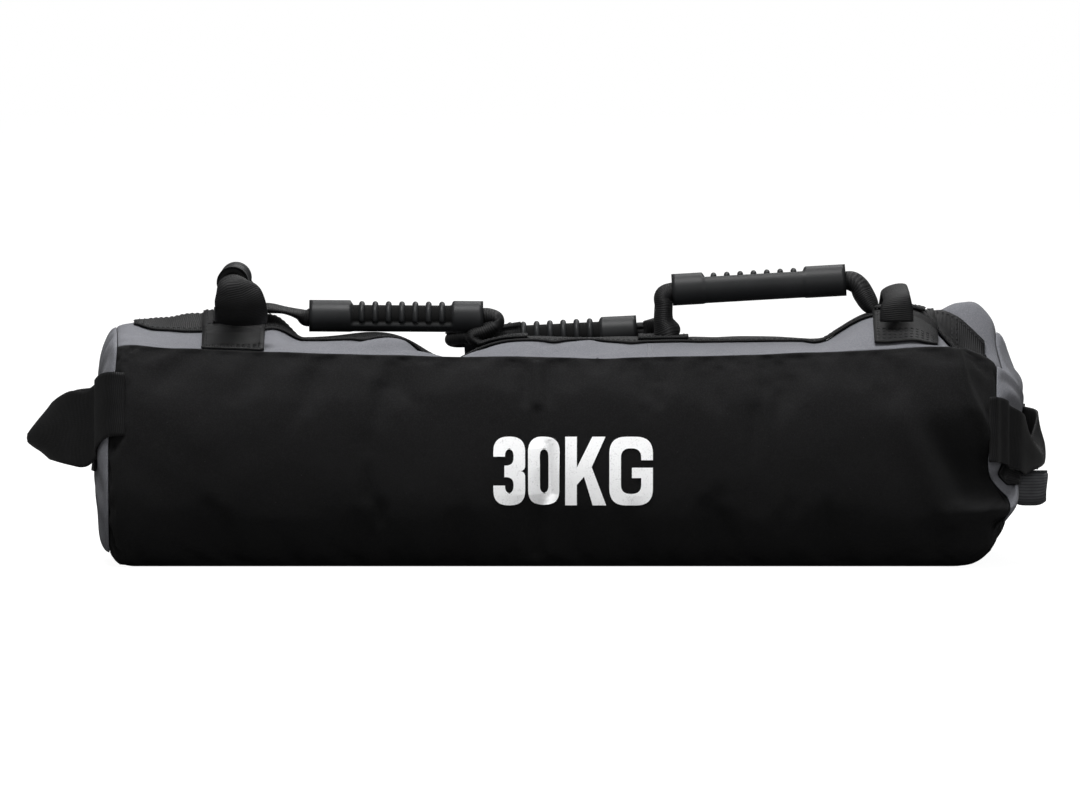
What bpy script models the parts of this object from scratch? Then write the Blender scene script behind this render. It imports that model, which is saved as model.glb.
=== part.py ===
# Sandbag trainer: a duffel-shaped sand-filled bag with webbing handles and ribbed rubber grips.
# Metres, +Z up. +X runs along the bag, -Y is the near side, the origin lies on the resting face.

from math import cos, exp, pi, radians, sin, sqrt

import bmesh
import bpy
from mathutils import Matrix, Vector
from mathutils.bvhtree import BVHTree

# Gaps and skins
SEAM_GAP = 0.0003
LAY_GAP = 0.0004
SKIN = 0.002

# The filled body, seam to seam
HALF_LENGTH = 0.352
BELLY_HALF_DEPTH = 0.104
SEAM_INSET = 0.018
SEAM_HALF_DEPTH = BELLY_HALF_DEPTH - SEAM_INSET
BELLY_HEIGHT = 0.080
FOOT_INSET = 0.034
FOOT_HALF_DEPTH = BELLY_HALF_DEPTH - FOOT_INSET
ZIP_HEIGHT = 0.150
NEAR_SEAM_ABOVE_ZIP = 0.018
NEAR_SEAM_HEIGHT = ZIP_HEIGHT + NEAR_SEAM_ABOVE_ZIP
NEAR_SEAM_RISE = 0.011
CREST_ABOVE_ZIP = 0.024
CREST_HEIGHT = ZIP_HEIGHT + CREST_ABOVE_ZIP
LEFT_CREST_RISE = 0.0145
RIGHT_CREST_RISE = 0.0205
SAG_DEPTH = 0.013
SAG_SPREAD = 0.022

# Places along the bag, as shares of its half length
LEFT_RISE_SHARES = (-0.5625, -0.6392)
RIGHT_RISE_SHARES = (0.5824, 0.7443)
SAG_SHARE = -0.2358
LEAN_FROM_SHARE = 0.7102
CROSS_LEFT_SHARE = -0.7216
LEFT_INNER_FOOT_SHARE = -0.1550
MIDDLE_FOOT_SHARES = (-0.0695, 0.2102)
RIGHT_INNER_FOOT_SHARE = 0.2955
COIL_END_SHARE = 0.8523
SLIDER_SHARE = 0.8068
FILLER_END_PLACE_SHARE = 0.9375

LEFT_RISE_FROM, LEFT_RISE_TO = [share * HALF_LENGTH for share in LEFT_RISE_SHARES]
RIGHT_RISE_FROM, RIGHT_RISE_TO = [share * HALF_LENGTH for share in RIGHT_RISE_SHARES]
BAND_START_INSET = 0.018
BAND_END_INSET = 0.024
BAND_START = BAND_START_INSET - HALF_LENGTH
BAND_END = HALF_LENGTH - BAND_END_INSET
SAG_PLACE = SAG_SHARE * HALF_LENGTH
LEAN_FROM = LEAN_FROM_SHARE * HALF_LENGTH
CROSS_LEFT_PLACE = CROSS_LEFT_SHARE * HALF_LENGTH
CROSS_RIGHT_INSET = 0.071
CROSS_RIGHT_PLACE = HALF_LENGTH - CROSS_RIGHT_INSET
COIL_HALF_LENGTH = COIL_END_SHARE * HALF_LENGTH
SLIDER_PLACE = SLIDER_SHARE * HALF_LENGTH
FILLER_HALF_RUN = FILLER_END_PLACE_SHARE * HALF_LENGTH

# How each end rounds off
LEFT_ROUND = 0.024
LEFT_TOP_DROP = 0.022
LEFT_FOOT_LIFT = 0.008
LEFT_BULGE = 0.014
RIGHT_ROUND = 0.044
RIGHT_TOP_DROP = 0.034
RIGHT_FOOT_LIFT = 0.036
RIGHT_BULGE = 0.008
END_SIDE_TUCK = 0.010
RIGHT_SKEW = 0.022
RIGHT_TUCK = 0.042
TUCK_ABOVE_BELLY = 0.015
TUCK_ABOVE_CREST = 0.011
TUCK_FROM_HEIGHT = BELLY_HEIGHT + TUCK_ABOVE_BELLY
TUCK_TO_HEIGHT = CREST_HEIGHT + TUCK_ABOVE_CREST
# Shares of an end's rounding at which it has a station
END_SHARES = (0.45, 0.75, 0.93, 1.0)
STATION_CLEAR_SHARE = 0.3

# The zip along the far top edge
ZIP_STRIP_WIDTH = 0.030
TAPE_THICKNESS = 0.001
COIL_RADIUS = 0.0013
COIL_PARTING = 0.0012
STOP_LENGTH = 0.005
STOP_THICKNESS = 0.0010
SLIDER_LENGTH = 0.014
SLIDER_PLATE = 0.0015
SLIDER_WIDTH = 0.011
SLIDER_FLANGE = 0.0018
SLIDER_POST = 0.0006
RUN_GAP = 0.0004
BRIDGE_WIDTH = 0.0016
BRIDGE_SPAN = 0.0070
BRIDGE_BAR = 0.0010
PIVOT_LIFT = 0.0012
PULL_THICKNESS = 0.0012
PULL_WIDTH = 0.008
PULL_LENGTH = 0.028
PULL_WINDOW = 0.0068
PULL_WINDOW_WIDTH = 0.0032

# Webbing
WEBBING_WIDTH = 0.050
WEBBING_THICKNESS = 0.0018
CROSS_NEAR_SHARE = 0.95
CROSS_EDGE_INSET = 0.036
CROSS_FAR_EDGE = SEAM_HALF_DEPTH - CROSS_EDGE_INSET
STEP_REACH = 0.0015
STEP_REACH_ALONG = 0.0015
PATCH_LENGTH = 0.040
PATCH_WIDTH = 0.044

# Handle straps: how thick the folded webbing is along them
FOOT_RADIUS = 0.005
FOOT_GAP = 0.0006
UPRIGHT_FOOT_GAP = 0.0002
SLOPED_FOOT_GAP = -0.0005
FOLDED_FOOT_GAP = 0.0002
LEG_THICKNESS = 0.010
LEG_WIDTH = 0.016
GRIP_CORE_RADIUS = 0.0065

# Rubber grips
GRIP_LENGTH = 0.139
GRIP_RADIUS = 0.0123
GRIP_WAIST_RADIUS = 0.0103
GRIP_COLLAR = 0.026
GRIP_COLLAR_ROUND = 0.0025
GRIP_BORE_RADIUS = 0.0070
RIB_COUNT = 7
RIB_RADIUS = 0.0121
RIB_WIDTH = 0.0050

# In-line handles: the feet along the bag, with each outer one a leg's run beyond the grip
LEFT_INNER_FOOT = LEFT_INNER_FOOT_SHARE * HALF_LENGTH
LEFT_GRIP_INSET = 0.0005
LEFT_LEG_RUN = 0.0400
LEFT_GRIP_END = LEFT_INNER_FOOT - LEFT_GRIP_INSET
LEFT_FEET = (LEFT_GRIP_END - GRIP_LENGTH - LEFT_LEG_RUN, LEFT_INNER_FOOT)
MIDDLE_FEET = [share * HALF_LENGTH for share in MIDDLE_FOOT_SHARES]
RIGHT_INNER_FOOT = RIGHT_INNER_FOOT_SHARE * HALF_LENGTH
RIGHT_GRIP_OVERHANG = 0.0081
RIGHT_LEG_RUN = 0.0260
RIGHT_GRIP_START = RIGHT_INNER_FOOT - RIGHT_GRIP_OVERHANG
RIGHT_FEET = (RIGHT_INNER_FOOT, RIGHT_GRIP_START + GRIP_LENGTH + RIGHT_LEG_RUN)
GRIP_MIDDLES = (LEFT_GRIP_END - 0.5 * GRIP_LENGTH, 0.0, RIGHT_GRIP_START + 0.5 * GRIP_LENGTH)
PATCH_INSET = 0.0035
PATCH_PLACES = (CROSS_LEFT_PLACE + PATCH_INSET, 0.5 * (LEFT_FEET[1] + MIDDLE_FEET[0]),
                0.5 * (MIDDLE_FEET[1] + RIGHT_FEET[0]), CROSS_RIGHT_PLACE - PATCH_INSET)

# Where each end of a grip lies across the bag, and how far above the crest
LEFT_GRIP_LIFTS = (0.0225, 0.0213)
MIDDLE_GRIP_ACROSS = (0.0440, 0.0720)
MIDDLE_FEET_ACROSS = 0.012
MIDDLE_GRIP_LIFTS = (0.0025, 0.0050)
RIGHT_GRIP_LIFTS = (0.0415, 0.0495)
LEG_PULL = 0.024
LONG_PULL = 0.014
MIDDLE_LONG_PULL = 0.026
MIDDLE_LEG = (0.011, 0.008)
# Which way the webbing leaves each foot, as shares of the leg pull: along, across and up
LEFT_PULL_SHARES = ((0.4, 0.0, 0.0), (0.75, 0.0, 0.5))
MIDDLE_PULL_SHARES = ((-1.2, 0.0, 0.2), (0.5, 0.9, 0.2))
RIGHT_PULL_SHARES = ((-1.0, 0.0, 0.3), (0.2, 0.0, 0.6))

# Cross handles
CROSS_GRIP_LIFT = 0.0476
CROSS_GRIP_HEIGHT = CREST_HEIGHT + CROSS_GRIP_LIFT
CROSS_NEAR_INSET = 0.022
CROSS_FAR_INSET = 0.044
CROSS_NEAR_FOOT = CROSS_NEAR_INSET - SEAM_HALF_DEPTH
CROSS_FAR_FOOT = SEAM_HALF_DEPTH - CROSS_FAR_INSET
CROSS_LEG_PULL = 0.020
CROSS_LEG_WIDTH = 0.030
CROSS_PULL_SHARES = ((-1.0, 0.3), (2.0, 0.6))
FOLDED_LIFT = 0.0410
FOLDED_HEIGHT = CREST_HEIGHT + FOLDED_LIFT
FOLDED_NEAR_INSET = 0.020
FOLDED_NEAR_FOOT = FOLDED_NEAR_INSET - SEAM_HALF_DEPTH
FOLDED_FAR_FOOT = CROSS_FAR_FOOT
FOLDED_WIDTH = 0.022
FOLDED_THICKNESS = 0.006
FOLDED_PULL = 0.016

# End handles
END_HANDLE_BASE_WIDTH = 0.058
END_HANDLE_FOLD_WIDTH = 0.012
END_HANDLE_THICKNESS = 0.003
END_HANDLE_FOLD_THICKNESS = 0.009
END_HANDLE_HALF_SPAN = 0.056
LEFT_HANDLE_BELOW_ZIP = 0.051
LEFT_HANDLE_HEIGHT = ZIP_HEIGHT - LEFT_HANDLE_BELOW_ZIP
LEFT_HANDLE_REACH = 0.048
RIGHT_HANDLE_BELOW_ZIP = 0.062
RIGHT_HANDLE_HEIGHT = ZIP_HEIGHT - RIGHT_HANDLE_BELOW_ZIP
RIGHT_HANDLE_REACH = 0.020
RIGHT_HANDLE_DROOP = 0.014
HANDLE_LEAVE_SHARE = 0.40
HANDLE_FLAT_SHARE = 0.25
HANDLE_TAPER_POWER = 1.5
HANDLE_SHOULDER_SHARE = 0.22
# Shares of the foot's radius at which its round nose has a ring
NOSE_SHARES = (0.70, 0.94)
PATCH_LIFT_GAP = 0.0010
TAB_LIFT_GAP = 0.0006
END_PATCH_WIDTH = 0.016
END_PATCH_HEIGHT = 0.048
TAB_BELOW_BELLY = 0.023
TAB_HEIGHT = BELLY_HEIGHT - TAB_BELOW_BELLY
TAB_RISE = 0.012
TAB_REACH = 0.033
TAB_WIDTH = 0.025

# Filler bags
FILLER_COUNT = 4
FILLER_ROOF_DROP = 0.007
FILLER_ROOF = ZIP_HEIGHT - FILLER_ROOF_DROP
FILLER_DEPTH_SHARE = 0.93
FILLER_GAP = 0.0008
FILLER_END_SHARE = 0.72
FLAP_LENGTH = 0.060
FLAP_WIDTH = 0.080
FLAP_THICKNESS = 0.003
FLAP_SHIFT_SHARE = 0.25
# Shares of a filler bag's half length at which its section is taken
PILLOW_SHARES = (-1.0, -0.93, -0.75, -0.35, 0.35, 0.75, 0.93, 1.0)
PILLOW_POWER = 4
PILLOW_SECTION_POWER = 0.55

# Colours: red, green, blue, then roughness and metallic
BLACK_FABRIC = ((0.016, 0.016, 0.017), 0.90, 0.0)
GREY_FABRIC = ((0.130, 0.130, 0.145), 0.85, 0.0)
BLACK_WEBBING = ((0.010, 0.010, 0.011), 0.80, 0.0)
GREY_WEBBING = ((0.120, 0.120, 0.130), 0.80, 0.0)
GRIP_RUBBER = ((0.020, 0.021, 0.022), 0.45, 0.0)
ZIP_METAL = ((0.080, 0.080, 0.085), 0.35, 1.0)
FILLER_FABRIC = ((0.055, 0.055, 0.060), 0.85, 0.0)

EVEN_STATIONS = 18
SIDE_ROWS = 8
FLOOR_ROWS = 4
TOP_ROWS = 8
RING_STEPS = 4
LEG_STEPS = 9
GRIP_SIDES = 16
SWEEP_SIDES = 10
PILLOW_SIDES = 16
COIL_SIDES = 8
SHARP_ANGLE = 40


def clear_scene():
    for item in list(bpy.data.objects):
        bpy.data.objects.remove(item, do_unlink=True)


def material(name, look):
    colour, roughness, metallic = look
    made = bpy.data.materials.new(name)
    made.use_nodes = True
    shader = made.node_tree.nodes["Principled BSDF"]
    shader.inputs["Base Color"].default_value = (*colour, 1.0)
    shader.inputs["Roughness"].default_value = roughness
    shader.inputs["Metallic"].default_value = metallic
    return made


def add_piece(name, points, faces, look, smooth=True):
    mesh = bpy.data.meshes.new(name)
    mesh.from_pydata([tuple(point) for point in points], [], faces)
    shell = bmesh.new()
    shell.from_mesh(mesh)
    bmesh.ops.recalc_face_normals(shell, faces=shell.faces)
    shell.to_mesh(mesh)
    shell.free()
    if smooth:
        mesh.shade_smooth()
        mesh.set_sharp_from_angle(angle=radians(SHARP_ANGLE))
    mesh.materials.append(material(name, look))
    piece = bpy.data.objects.new(name, mesh)
    bpy.context.scene.collection.objects.link(piece)
    return piece


def put_origin(piece, place):
    # Moves the origin onto the joint's axis and leaves the shape where it is.
    place = Vector(place)
    piece.data.transform(Matrix.Translation(-place))
    piece.location = place


def ease(start, end, value):
    share = min(max((value - start) / (end - start), 0.0), 1.0)
    return share * share * (3.0 - 2.0 * share)


# The filled shape: heights of its lines along the bag

def crest_height(x):
    left = LEFT_CREST_RISE * ease(LEFT_RISE_FROM, LEFT_RISE_TO, x)
    right = RIGHT_CREST_RISE * ease(RIGHT_RISE_FROM, RIGHT_RISE_TO, x)
    sag = SAG_DEPTH * exp(-0.5 * ((x - SAG_PLACE) / SAG_SPREAD) ** 2)
    return CREST_HEIGHT + left + right - sag


def near_seam_height(x):
    return NEAR_SEAM_HEIGHT + NEAR_SEAM_RISE * (x / HALF_LENGTH) ** 2


def top_height(x, y):
    zip_edge = SEAM_HALF_DEPTH - ZIP_STRIP_WIDTH
    if y >= zip_edge:
        return ZIP_HEIGHT
    share = (y + SEAM_HALF_DEPTH) / (zip_edge + SEAM_HALF_DEPTH)
    chord = near_seam_height(x) * (1.0 - share) + ZIP_HEIGHT * share
    middle_share = SEAM_HALF_DEPTH / (zip_edge + SEAM_HALF_DEPTH)
    middle_chord = near_seam_height(x) * (1.0 - middle_share) + ZIP_HEIGHT * middle_share
    reach = zip_edge if y > 0.0 else SEAM_HALF_DEPTH
    return chord + (crest_height(x) - middle_chord) * (1.0 - (y / reach) ** 2)


def end_round(x, start, length):
    share = min(max((abs(x) - start) / length, 0.0), 1.0)
    return 1.0 - sqrt(1.0 - share * share)


def settle(x, y, z):
    # Rounds both ends off. The right one is set askew, and its near top corner has fallen in.
    on_left = x < 0.0
    length = LEFT_ROUND if on_left else RIGHT_ROUND
    bend = end_round(x, HALF_LENGTH - length, length)
    drop = LEFT_TOP_DROP if on_left else RIGHT_TOP_DROP
    lift = LEFT_FOOT_LIFT if on_left else RIGHT_FOOT_LIFT
    y -= END_SIDE_TUCK * bend * y / BELLY_HALF_DEPTH
    if z > BELLY_HEIGHT:
        z -= drop * bend * (z - BELLY_HEIGHT) / (CREST_HEIGHT - BELLY_HEIGHT)
    else:
        z += lift * bend * (BELLY_HEIGHT - z) / BELLY_HEIGHT
    far = 0.5 + 0.5 * y / BELLY_HALF_DEPTH
    fallen = (1.0 - far) * ease(TUCK_FROM_HEIGHT, TUCK_TO_HEIGHT, z)
    x += ease(LEAN_FROM, HALF_LENGTH, x) * (RIGHT_SKEW * far - RIGHT_TUCK * fallen)
    return Vector((x, y, z))


def stations():
    # Even along the bag, with one at each change of its crest, closer where an end rounds off.
    inner = HALF_LENGTH - RIGHT_ROUND
    crest = [LEFT_RISE_TO, LEFT_RISE_FROM, 0.5 * (LEFT_RISE_TO + LEFT_RISE_FROM), SAG_PLACE]
    crest += [RIGHT_RISE_FROM, 0.5 * (RIGHT_RISE_FROM + RIGHT_RISE_TO), RIGHT_RISE_TO]
    even = [inner * (2.0 * index / EVEN_STATIONS - 1.0) for index in range(EVEN_STATIONS + 1)]
    clear = STATION_CLEAR_SHARE * (even[1] - even[0])
    places = [x for x in even if all(abs(x - place) > clear for place in crest)] + crest
    for share in END_SHARES:
        places.append(inner + RIGHT_ROUND * share)
    start = HALF_LENGTH - LEFT_ROUND
    for share in (0.0, *END_SHARES):
        places.append(-start - LEFT_ROUND * share)
    return sorted(places)


def side_outline(seam_height):
    # Half of the section, from the seam over the belly to the edge of the foot.
    outline = []
    for index in range(SIDE_ROWS + 1):
        angle = 0.5 * pi * (1.0 - index / SIDE_ROWS)
        out = SEAM_HALF_DEPTH + (BELLY_HALF_DEPTH - SEAM_HALF_DEPTH) * cos(angle)
        outline.append((out, BELLY_HEIGHT + (seam_height - BELLY_HEIGHT) * sin(angle)))
    for index in range(1, SIDE_ROWS - 1):
        angle = 0.5 * pi * index / (SIDE_ROWS - 2)
        out = FOOT_HALF_DEPTH + (BELLY_HALF_DEPTH - FOOT_HALF_DEPTH) * cos(angle)
        outline.append((out, BELLY_HEIGHT * (1.0 - sin(angle))))
    return outline


def side_row(x):
    near = [(-out, height) for out, height in side_outline(near_seam_height(x))]
    far = side_outline(ZIP_HEIGHT)[::-1]
    floor = [FOOT_HALF_DEPTH * (2.0 * index / FLOOR_ROWS - 1.0) for index in range(1, FLOOR_ROWS)]
    row = near[:-1] + [(near[-1][0], 0.0)]
    row += [(y, 0.0) for y in floor]
    row += [(far[0][0], 0.0)] + far[1:]
    return [settle(x, y, z) for y, z in row]


def top_columns():
    return span(SEAM_HALF_DEPTH - ZIP_STRIP_WIDTH, -SEAM_HALF_DEPTH, TOP_ROWS)


def top_row(x):
    # From the far seam over the zip and the crown to the near seam.
    zip_middle = SEAM_HALF_DEPTH - 0.5 * ZIP_STRIP_WIDTH
    ys = [SEAM_HALF_DEPTH, zip_middle + 0.5 * COIL_PARTING, zip_middle - 0.5 * COIL_PARTING]
    ys += top_columns()
    return [settle(x, y, top_height(x, y)) for y in ys]


def body_ring(x):
    # The whole closed section: the sides and the foot, then back over the top.
    return side_row(x) + top_row(x)[1:-1]


def grid_normal(grid, i, j):
    before = grid[max(i - 1, 0)][j]
    after = grid[min(i + 1, len(grid) - 1)][j]
    left = grid[i][max(j - 1, 0)]
    right = grid[i][min(j + 1, len(grid[i]) - 1)]
    return (after - before).cross(right - left).normalized()


def sheet(name, grid, thickness, look, outward, lift=0.0):
    # A sheet of fabric or webbing: the grid is what it lies on, and lift is its outer face.
    middle = grid_normal(grid, len(grid) // 2, len(grid[0]) // 2)
    sign = 1.0 if middle.dot(Vector(outward)) > 0.0 else -1.0
    normals = [[grid_normal(grid, i, j) * sign for j in range(len(row))]
               for i, row in enumerate(grid)]
    return thick_sheet(name, grid, normals, thickness, look, lift)


def thick_sheet(name, grid, normals, thickness, look, lift=0.0):
    outer = []
    inner = []
    for row, directions in zip(grid, normals):
        outer += [point + normal * lift for point, normal in zip(row, directions)]
        inner += [point + normal * (lift - thickness) for point, normal in zip(row, directions)]
    return add_piece(name, *closed_grid(outer, inner, len(grid), len(grid[0])), look)


def closed_grid(outer, inner, rows, columns):
    def index(i, j):
        return i * columns + j

    count = rows * columns
    faces = []
    for i in range(rows - 1):
        for j in range(columns - 1):
            face = [index(i, j), index(i + 1, j), index(i + 1, j + 1), index(i, j + 1)]
            faces.append(face)
            faces.append([count + corner for corner in reversed(face)])
    rim = [index(i, 0) for i in range(rows)]
    rim += [index(rows - 1, j) for j in range(1, columns)]
    rim += [index(i, columns - 1) for i in range(rows - 2, -1, -1)]
    rim += [index(0, j) for j in range(columns - 2, 0, -1)]
    for first, second in zip(rim, rim[1:] + rim[:1]):
        faces.append([second, first, count + first, count + second])
    return outer + inner, faces


def draw_in(grid, first=0.0, last=0.0):
    # Pulls the first and the last column in from a seam.
    for row in grid:
        if first:
            row[0] = row[0] + (row[1] - row[0]).normalized() * first
        if last:
            row[-1] = row[-1] + (row[-2] - row[-1]).normalized() * last
    return grid


def ring_normals(rings):
    count = len(rings[0])
    normals = []
    for i in range(len(rings)):
        before = rings[max(i - 1, 0)]
        after = rings[min(i + 1, len(rings) - 1)]
        row = []
        for j in range(count):
            round_it = rings[i][(j + 1) % count] - rings[i][j - 1]
            row.append(round_it.cross(after[j] - before[j]).normalized())
        normals.append(row)
    return normals


def body_panels():
    # Each panel is a run of the section's points, drawn in from the seams that it shares.
    half_gap = 0.5 * SEAM_GAP
    rings = [body_ring(x) for x in stations()]
    normals = ring_normals(rings)
    count = len(rings[0])
    seam = len(side_row(0.0)) - 1
    table = (
        ("side_panel", 0, seam, SKIN, BLACK_FABRIC, half_gap, half_gap),
        ("zip_tape_outer", seam, seam + 1, TAPE_THICKNESS, BLACK_WEBBING, half_gap, 0.0),
        ("zip_tape_inner", seam + 2, seam + 3, TAPE_THICKNESS, BLACK_WEBBING, 0.0, half_gap),
        ("top_panel", seam + 3, count, SKIN, GREY_FABRIC, half_gap, half_gap),
    )
    for name, first, last, thickness, look, first_gap, last_gap in table:
        columns = [index % count for index in range(first, last + 1)]
        grid = draw_in([[ring[j] for j in columns] for ring in rings], first_gap, last_gap)
        directions = [[row[j] for j in columns] for row in normals]
        thick_sheet(name, grid, directions, thickness, look)


def end_disc(name, x, bulge, look):
    ring = body_ring(x)
    out = Vector((1.0 if x > 0.0 else -1.0, 0.0, 0.0))
    centre = sum(ring, Vector()) / len(ring)
    outer = []
    inner = []
    for step in range(RING_STEPS):
        share = cos(0.5 * pi * step / RING_STEPS)
        rise = bulge * sin(0.5 * pi * step / RING_STEPS)
        for point in ring:
            place = centre + (point - centre) * share + out * (SEAM_GAP + rise)
            inner.append(place)
            outer.append(place + out * SKIN)
    tip = centre + out * (SEAM_GAP + bulge)
    count = len(ring)
    total = count * RING_STEPS
    points = outer + inner + [tip + out * SKIN, tip]
    faces = []
    for step in range(RING_STEPS - 1):
        for index in range(count):
            after = (index + 1) % count
            low = step * count
            high = low + count
            face = [low + index, low + after, high + after, high + index]
            faces.append(face)
            faces.append([total + corner for corner in reversed(face)])
    last = (RING_STEPS - 1) * count
    for index in range(count):
        after = (index + 1) % count
        faces.append([last + index, last + after, 2 * total])
        faces.append([total + last + after, total + last + index, 2 * total + 1])
        faces.append([after, index, total + index, total + after])
    return add_piece(name, points, faces, look)


def surface_of(*names):
    points = []
    faces = []
    for name in names:
        mesh = bpy.data.objects[name].data
        start = len(points)
        points += [vertex.co.copy() for vertex in mesh.vertices]
        faces += [[start + index for index in face.vertices] for face in mesh.polygons]
    return BVHTree.FromPolygons(points, faces)


def drop_on(surface, x, y):
    # Highest point of the surface above a place.
    hit = surface.ray_cast(Vector((x, y, HALF_LENGTH)), Vector((0, 0, -1)))
    return hit[0]


def span(start, end, steps):
    return [start + (end - start) * index / steps for index in range(steps + 1)]


def bridge_over(surface, x, y):
    # Height that clears whatever edge lies just beside a place.
    best = drop_on(surface, x, y)
    for dx in (-STEP_REACH_ALONG, 0.0, STEP_REACH_ALONG):
        for dy in (-STEP_REACH, 0.0, STEP_REACH):
            beside = drop_on(surface, x + dx, y + dy)
            if beside and beside.z > best.z + 0.5 * WEBBING_THICKNESS:
                best.z = beside.z
    return best


def laid_strip(name, surface, xs, ys, clearance, look):
    # Webbing laid on what is under it.
    grid = [[bridge_over(surface, x, y) for y in ys] for x in xs]
    return sheet(name, grid, WEBBING_THICKNESS, look, (0, 0, 1), clearance + WEBBING_THICKNESS)


def webbing_stations():
    # Where the panel's stations lie on the crest, and halfway between them at the askew end.
    settled = [settle(x, 0.0, top_height(x, 0.0)).x for x in stations()]
    halves = [0.5 * (first + second) for first, second in zip(settled, settled[1:])]
    return sorted(settled + [x for x in halves if x > LEAN_FROM])


def webbing_columns(start, end):
    # Both edges of a run across the bag, and the panel's own columns that lie well between them.
    inner = [y for y in top_columns() if start + STEP_REACH < y < end - STEP_REACH]
    return [start] + sorted(inner) + [end]


def top_webbing():
    panel = surface_of("top_panel")
    half = 0.5 * WEBBING_WIDTH
    band_xs = [BAND_START]
    settled = webbing_stations()
    band_xs += [x for x in settled if BAND_START < x < BAND_END]
    band_xs.append(BAND_END)
    columns = webbing_columns(-half, half)
    laid_strip("centre_band", panel, band_xs, columns, 3.0 * LAY_GAP, BLACK_WEBBING)
    layered = surface_of("top_panel", "centre_band")
    near = -SEAM_HALF_DEPTH * CROSS_NEAR_SHARE
    over = half + 0.9 * STEP_REACH
    beside = half + 3.0 * STEP_REACH
    ys = webbing_columns(near, -beside) + webbing_columns(-over, over)
    ys += webbing_columns(beside, CROSS_FAR_EDGE)
    for side, place in (("left", CROSS_LEFT_PLACE), ("right", CROSS_RIGHT_PLACE)):
        xs = [place - half] + [x for x in settled if abs(x - place) < 0.9 * half] + [place + half]
        laid_strip("cross_strap_" + side, layered, xs, ys, 4.0 * LAY_GAP, BLACK_WEBBING)


def handle_patches():
    surface = surface_of("centre_band", "cross_strap_left", "cross_strap_right")
    half_length = 0.5 * PATCH_LENGTH
    half_width = 0.5 * PATCH_WIDTH
    for index, place in enumerate(PATCH_PLACES):
        xs = span(place - half_length, place + half_length, 4)
        name = "handle_patch_" + str(index + 1)
        laid_strip(name, surface, xs, span(-half_width, half_width, 4), 3.0 * LAY_GAP, BLACK_WEBBING)


def bezier(start, pull_start, pull_end, end, steps):
    route = []
    for index in range(steps + 1):
        share = index / steps
        rest = 1.0 - share
        point = start * rest ** 3 + pull_start * 3.0 * rest * rest * share
        route.append(point + pull_end * 3.0 * rest * share * share + end * share ** 3)
    return route


def sweep(name, route, sizes, across, look, sides=SWEEP_SIDES):
    # An oval section carried along a route. Sizes are its full width and thickness at each point,
    # and across is the direction of its width.
    points = []
    for index, place in enumerate(route):
        before = route[max(index - 1, 0)]
        after = route[min(index + 1, len(route) - 1)]
        along = (after - before).normalized()
        wide = across[index] - along * across[index].dot(along)
        wide.normalize()
        thin = along.cross(wide)
        width, thickness = sizes[index]
        for side in range(sides):
            angle = 2.0 * pi * side / sides
            shift = wide * 0.5 * width * cos(angle) + thin * 0.5 * thickness * sin(angle)
            points.append(place + shift)
    faces = [list(range(sides))[::-1]]
    for ring in range(len(route) - 1):
        for side in range(sides):
            after = (side + 1) % sides
            low = ring * sides
            high = low + sides
            faces.append([low + side, low + after, high + after, high + side])
    faces.append([(len(route) - 1) * sides + side for side in range(sides)])
    return add_piece(name, points, faces, look)


def grip(name, start, end):
    # A moulded sleeve: two collars, a ribbed waist and a smooth land along its underside.
    along = (end - start).normalized()
    side = along.cross(Vector((0, 0, 1))).normalized()
    up = side.cross(along)
    middle = (start + end) * 0.5
    profile = [(-0.5 * GRIP_LENGTH, GRIP_RADIUS - GRIP_COLLAR_ROUND)]
    profile.append((-0.5 * GRIP_LENGTH + GRIP_COLLAR_ROUND, GRIP_RADIUS))
    profile.append((-0.5 * GRIP_LENGTH + GRIP_COLLAR, GRIP_RADIUS))
    waist = GRIP_LENGTH - 2.0 * GRIP_COLLAR
    pitch = waist / (RIB_COUNT + 0.5)
    for index in range(RIB_COUNT):
        place = (index - 0.5 * (RIB_COUNT - 1)) * pitch
        profile.append((place - 0.5 * RIB_WIDTH, GRIP_WAIST_RADIUS))
        profile.append((place - 0.3 * RIB_WIDTH, RIB_RADIUS))
        profile.append((place + 0.3 * RIB_WIDTH, RIB_RADIUS))
        profile.append((place + 0.5 * RIB_WIDTH, GRIP_WAIST_RADIUS))
    profile.append((0.5 * GRIP_LENGTH - GRIP_COLLAR, GRIP_RADIUS))
    profile.append((0.5 * GRIP_LENGTH - GRIP_COLLAR_ROUND, GRIP_RADIUS))
    profile.append((0.5 * GRIP_LENGTH, GRIP_RADIUS - GRIP_COLLAR_ROUND))
    bore = [(0.5 * GRIP_LENGTH, GRIP_BORE_RADIUS), (-0.5 * GRIP_LENGTH, GRIP_BORE_RADIUS)]
    points = []
    for place, radius in profile + bore:
        for step in range(GRIP_SIDES):
            angle = 2.0 * pi * step / GRIP_SIDES
            points.append(middle + along * place + (side * cos(angle) + up * sin(angle)) * radius)
    faces = []
    rings = len(profile) + len(bore)
    for ring in range(rings):
        following = (ring + 1) % rings
        for step in range(GRIP_SIDES):
            after = (step + 1) % GRIP_SIDES
            faces.append([ring * GRIP_SIDES + step, ring * GRIP_SIDES + after,
                          following * GRIP_SIDES + after, following * GRIP_SIDES + step])
    return add_piece(name, points, faces, GRIP_RUBBER)


def leg_sizes(steps, width=LEG_WIDTH, thickness=LEG_THICKNESS):
    # Rolled round at the foot, broad in the leg and bundled again where it enters the grip.
    core = 2.0 * GRIP_CORE_RADIUS - 2.0 * SEAM_GAP
    foot = 2.0 * FOOT_RADIUS
    sizes = []
    for index in range(steps + 1):
        share = index / steps
        swell = sin(pi * share)
        base = foot + (core - foot) * share
        sizes.append((base + (width - base) * swell, base + (thickness - base) * swell))
    return sizes


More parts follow.
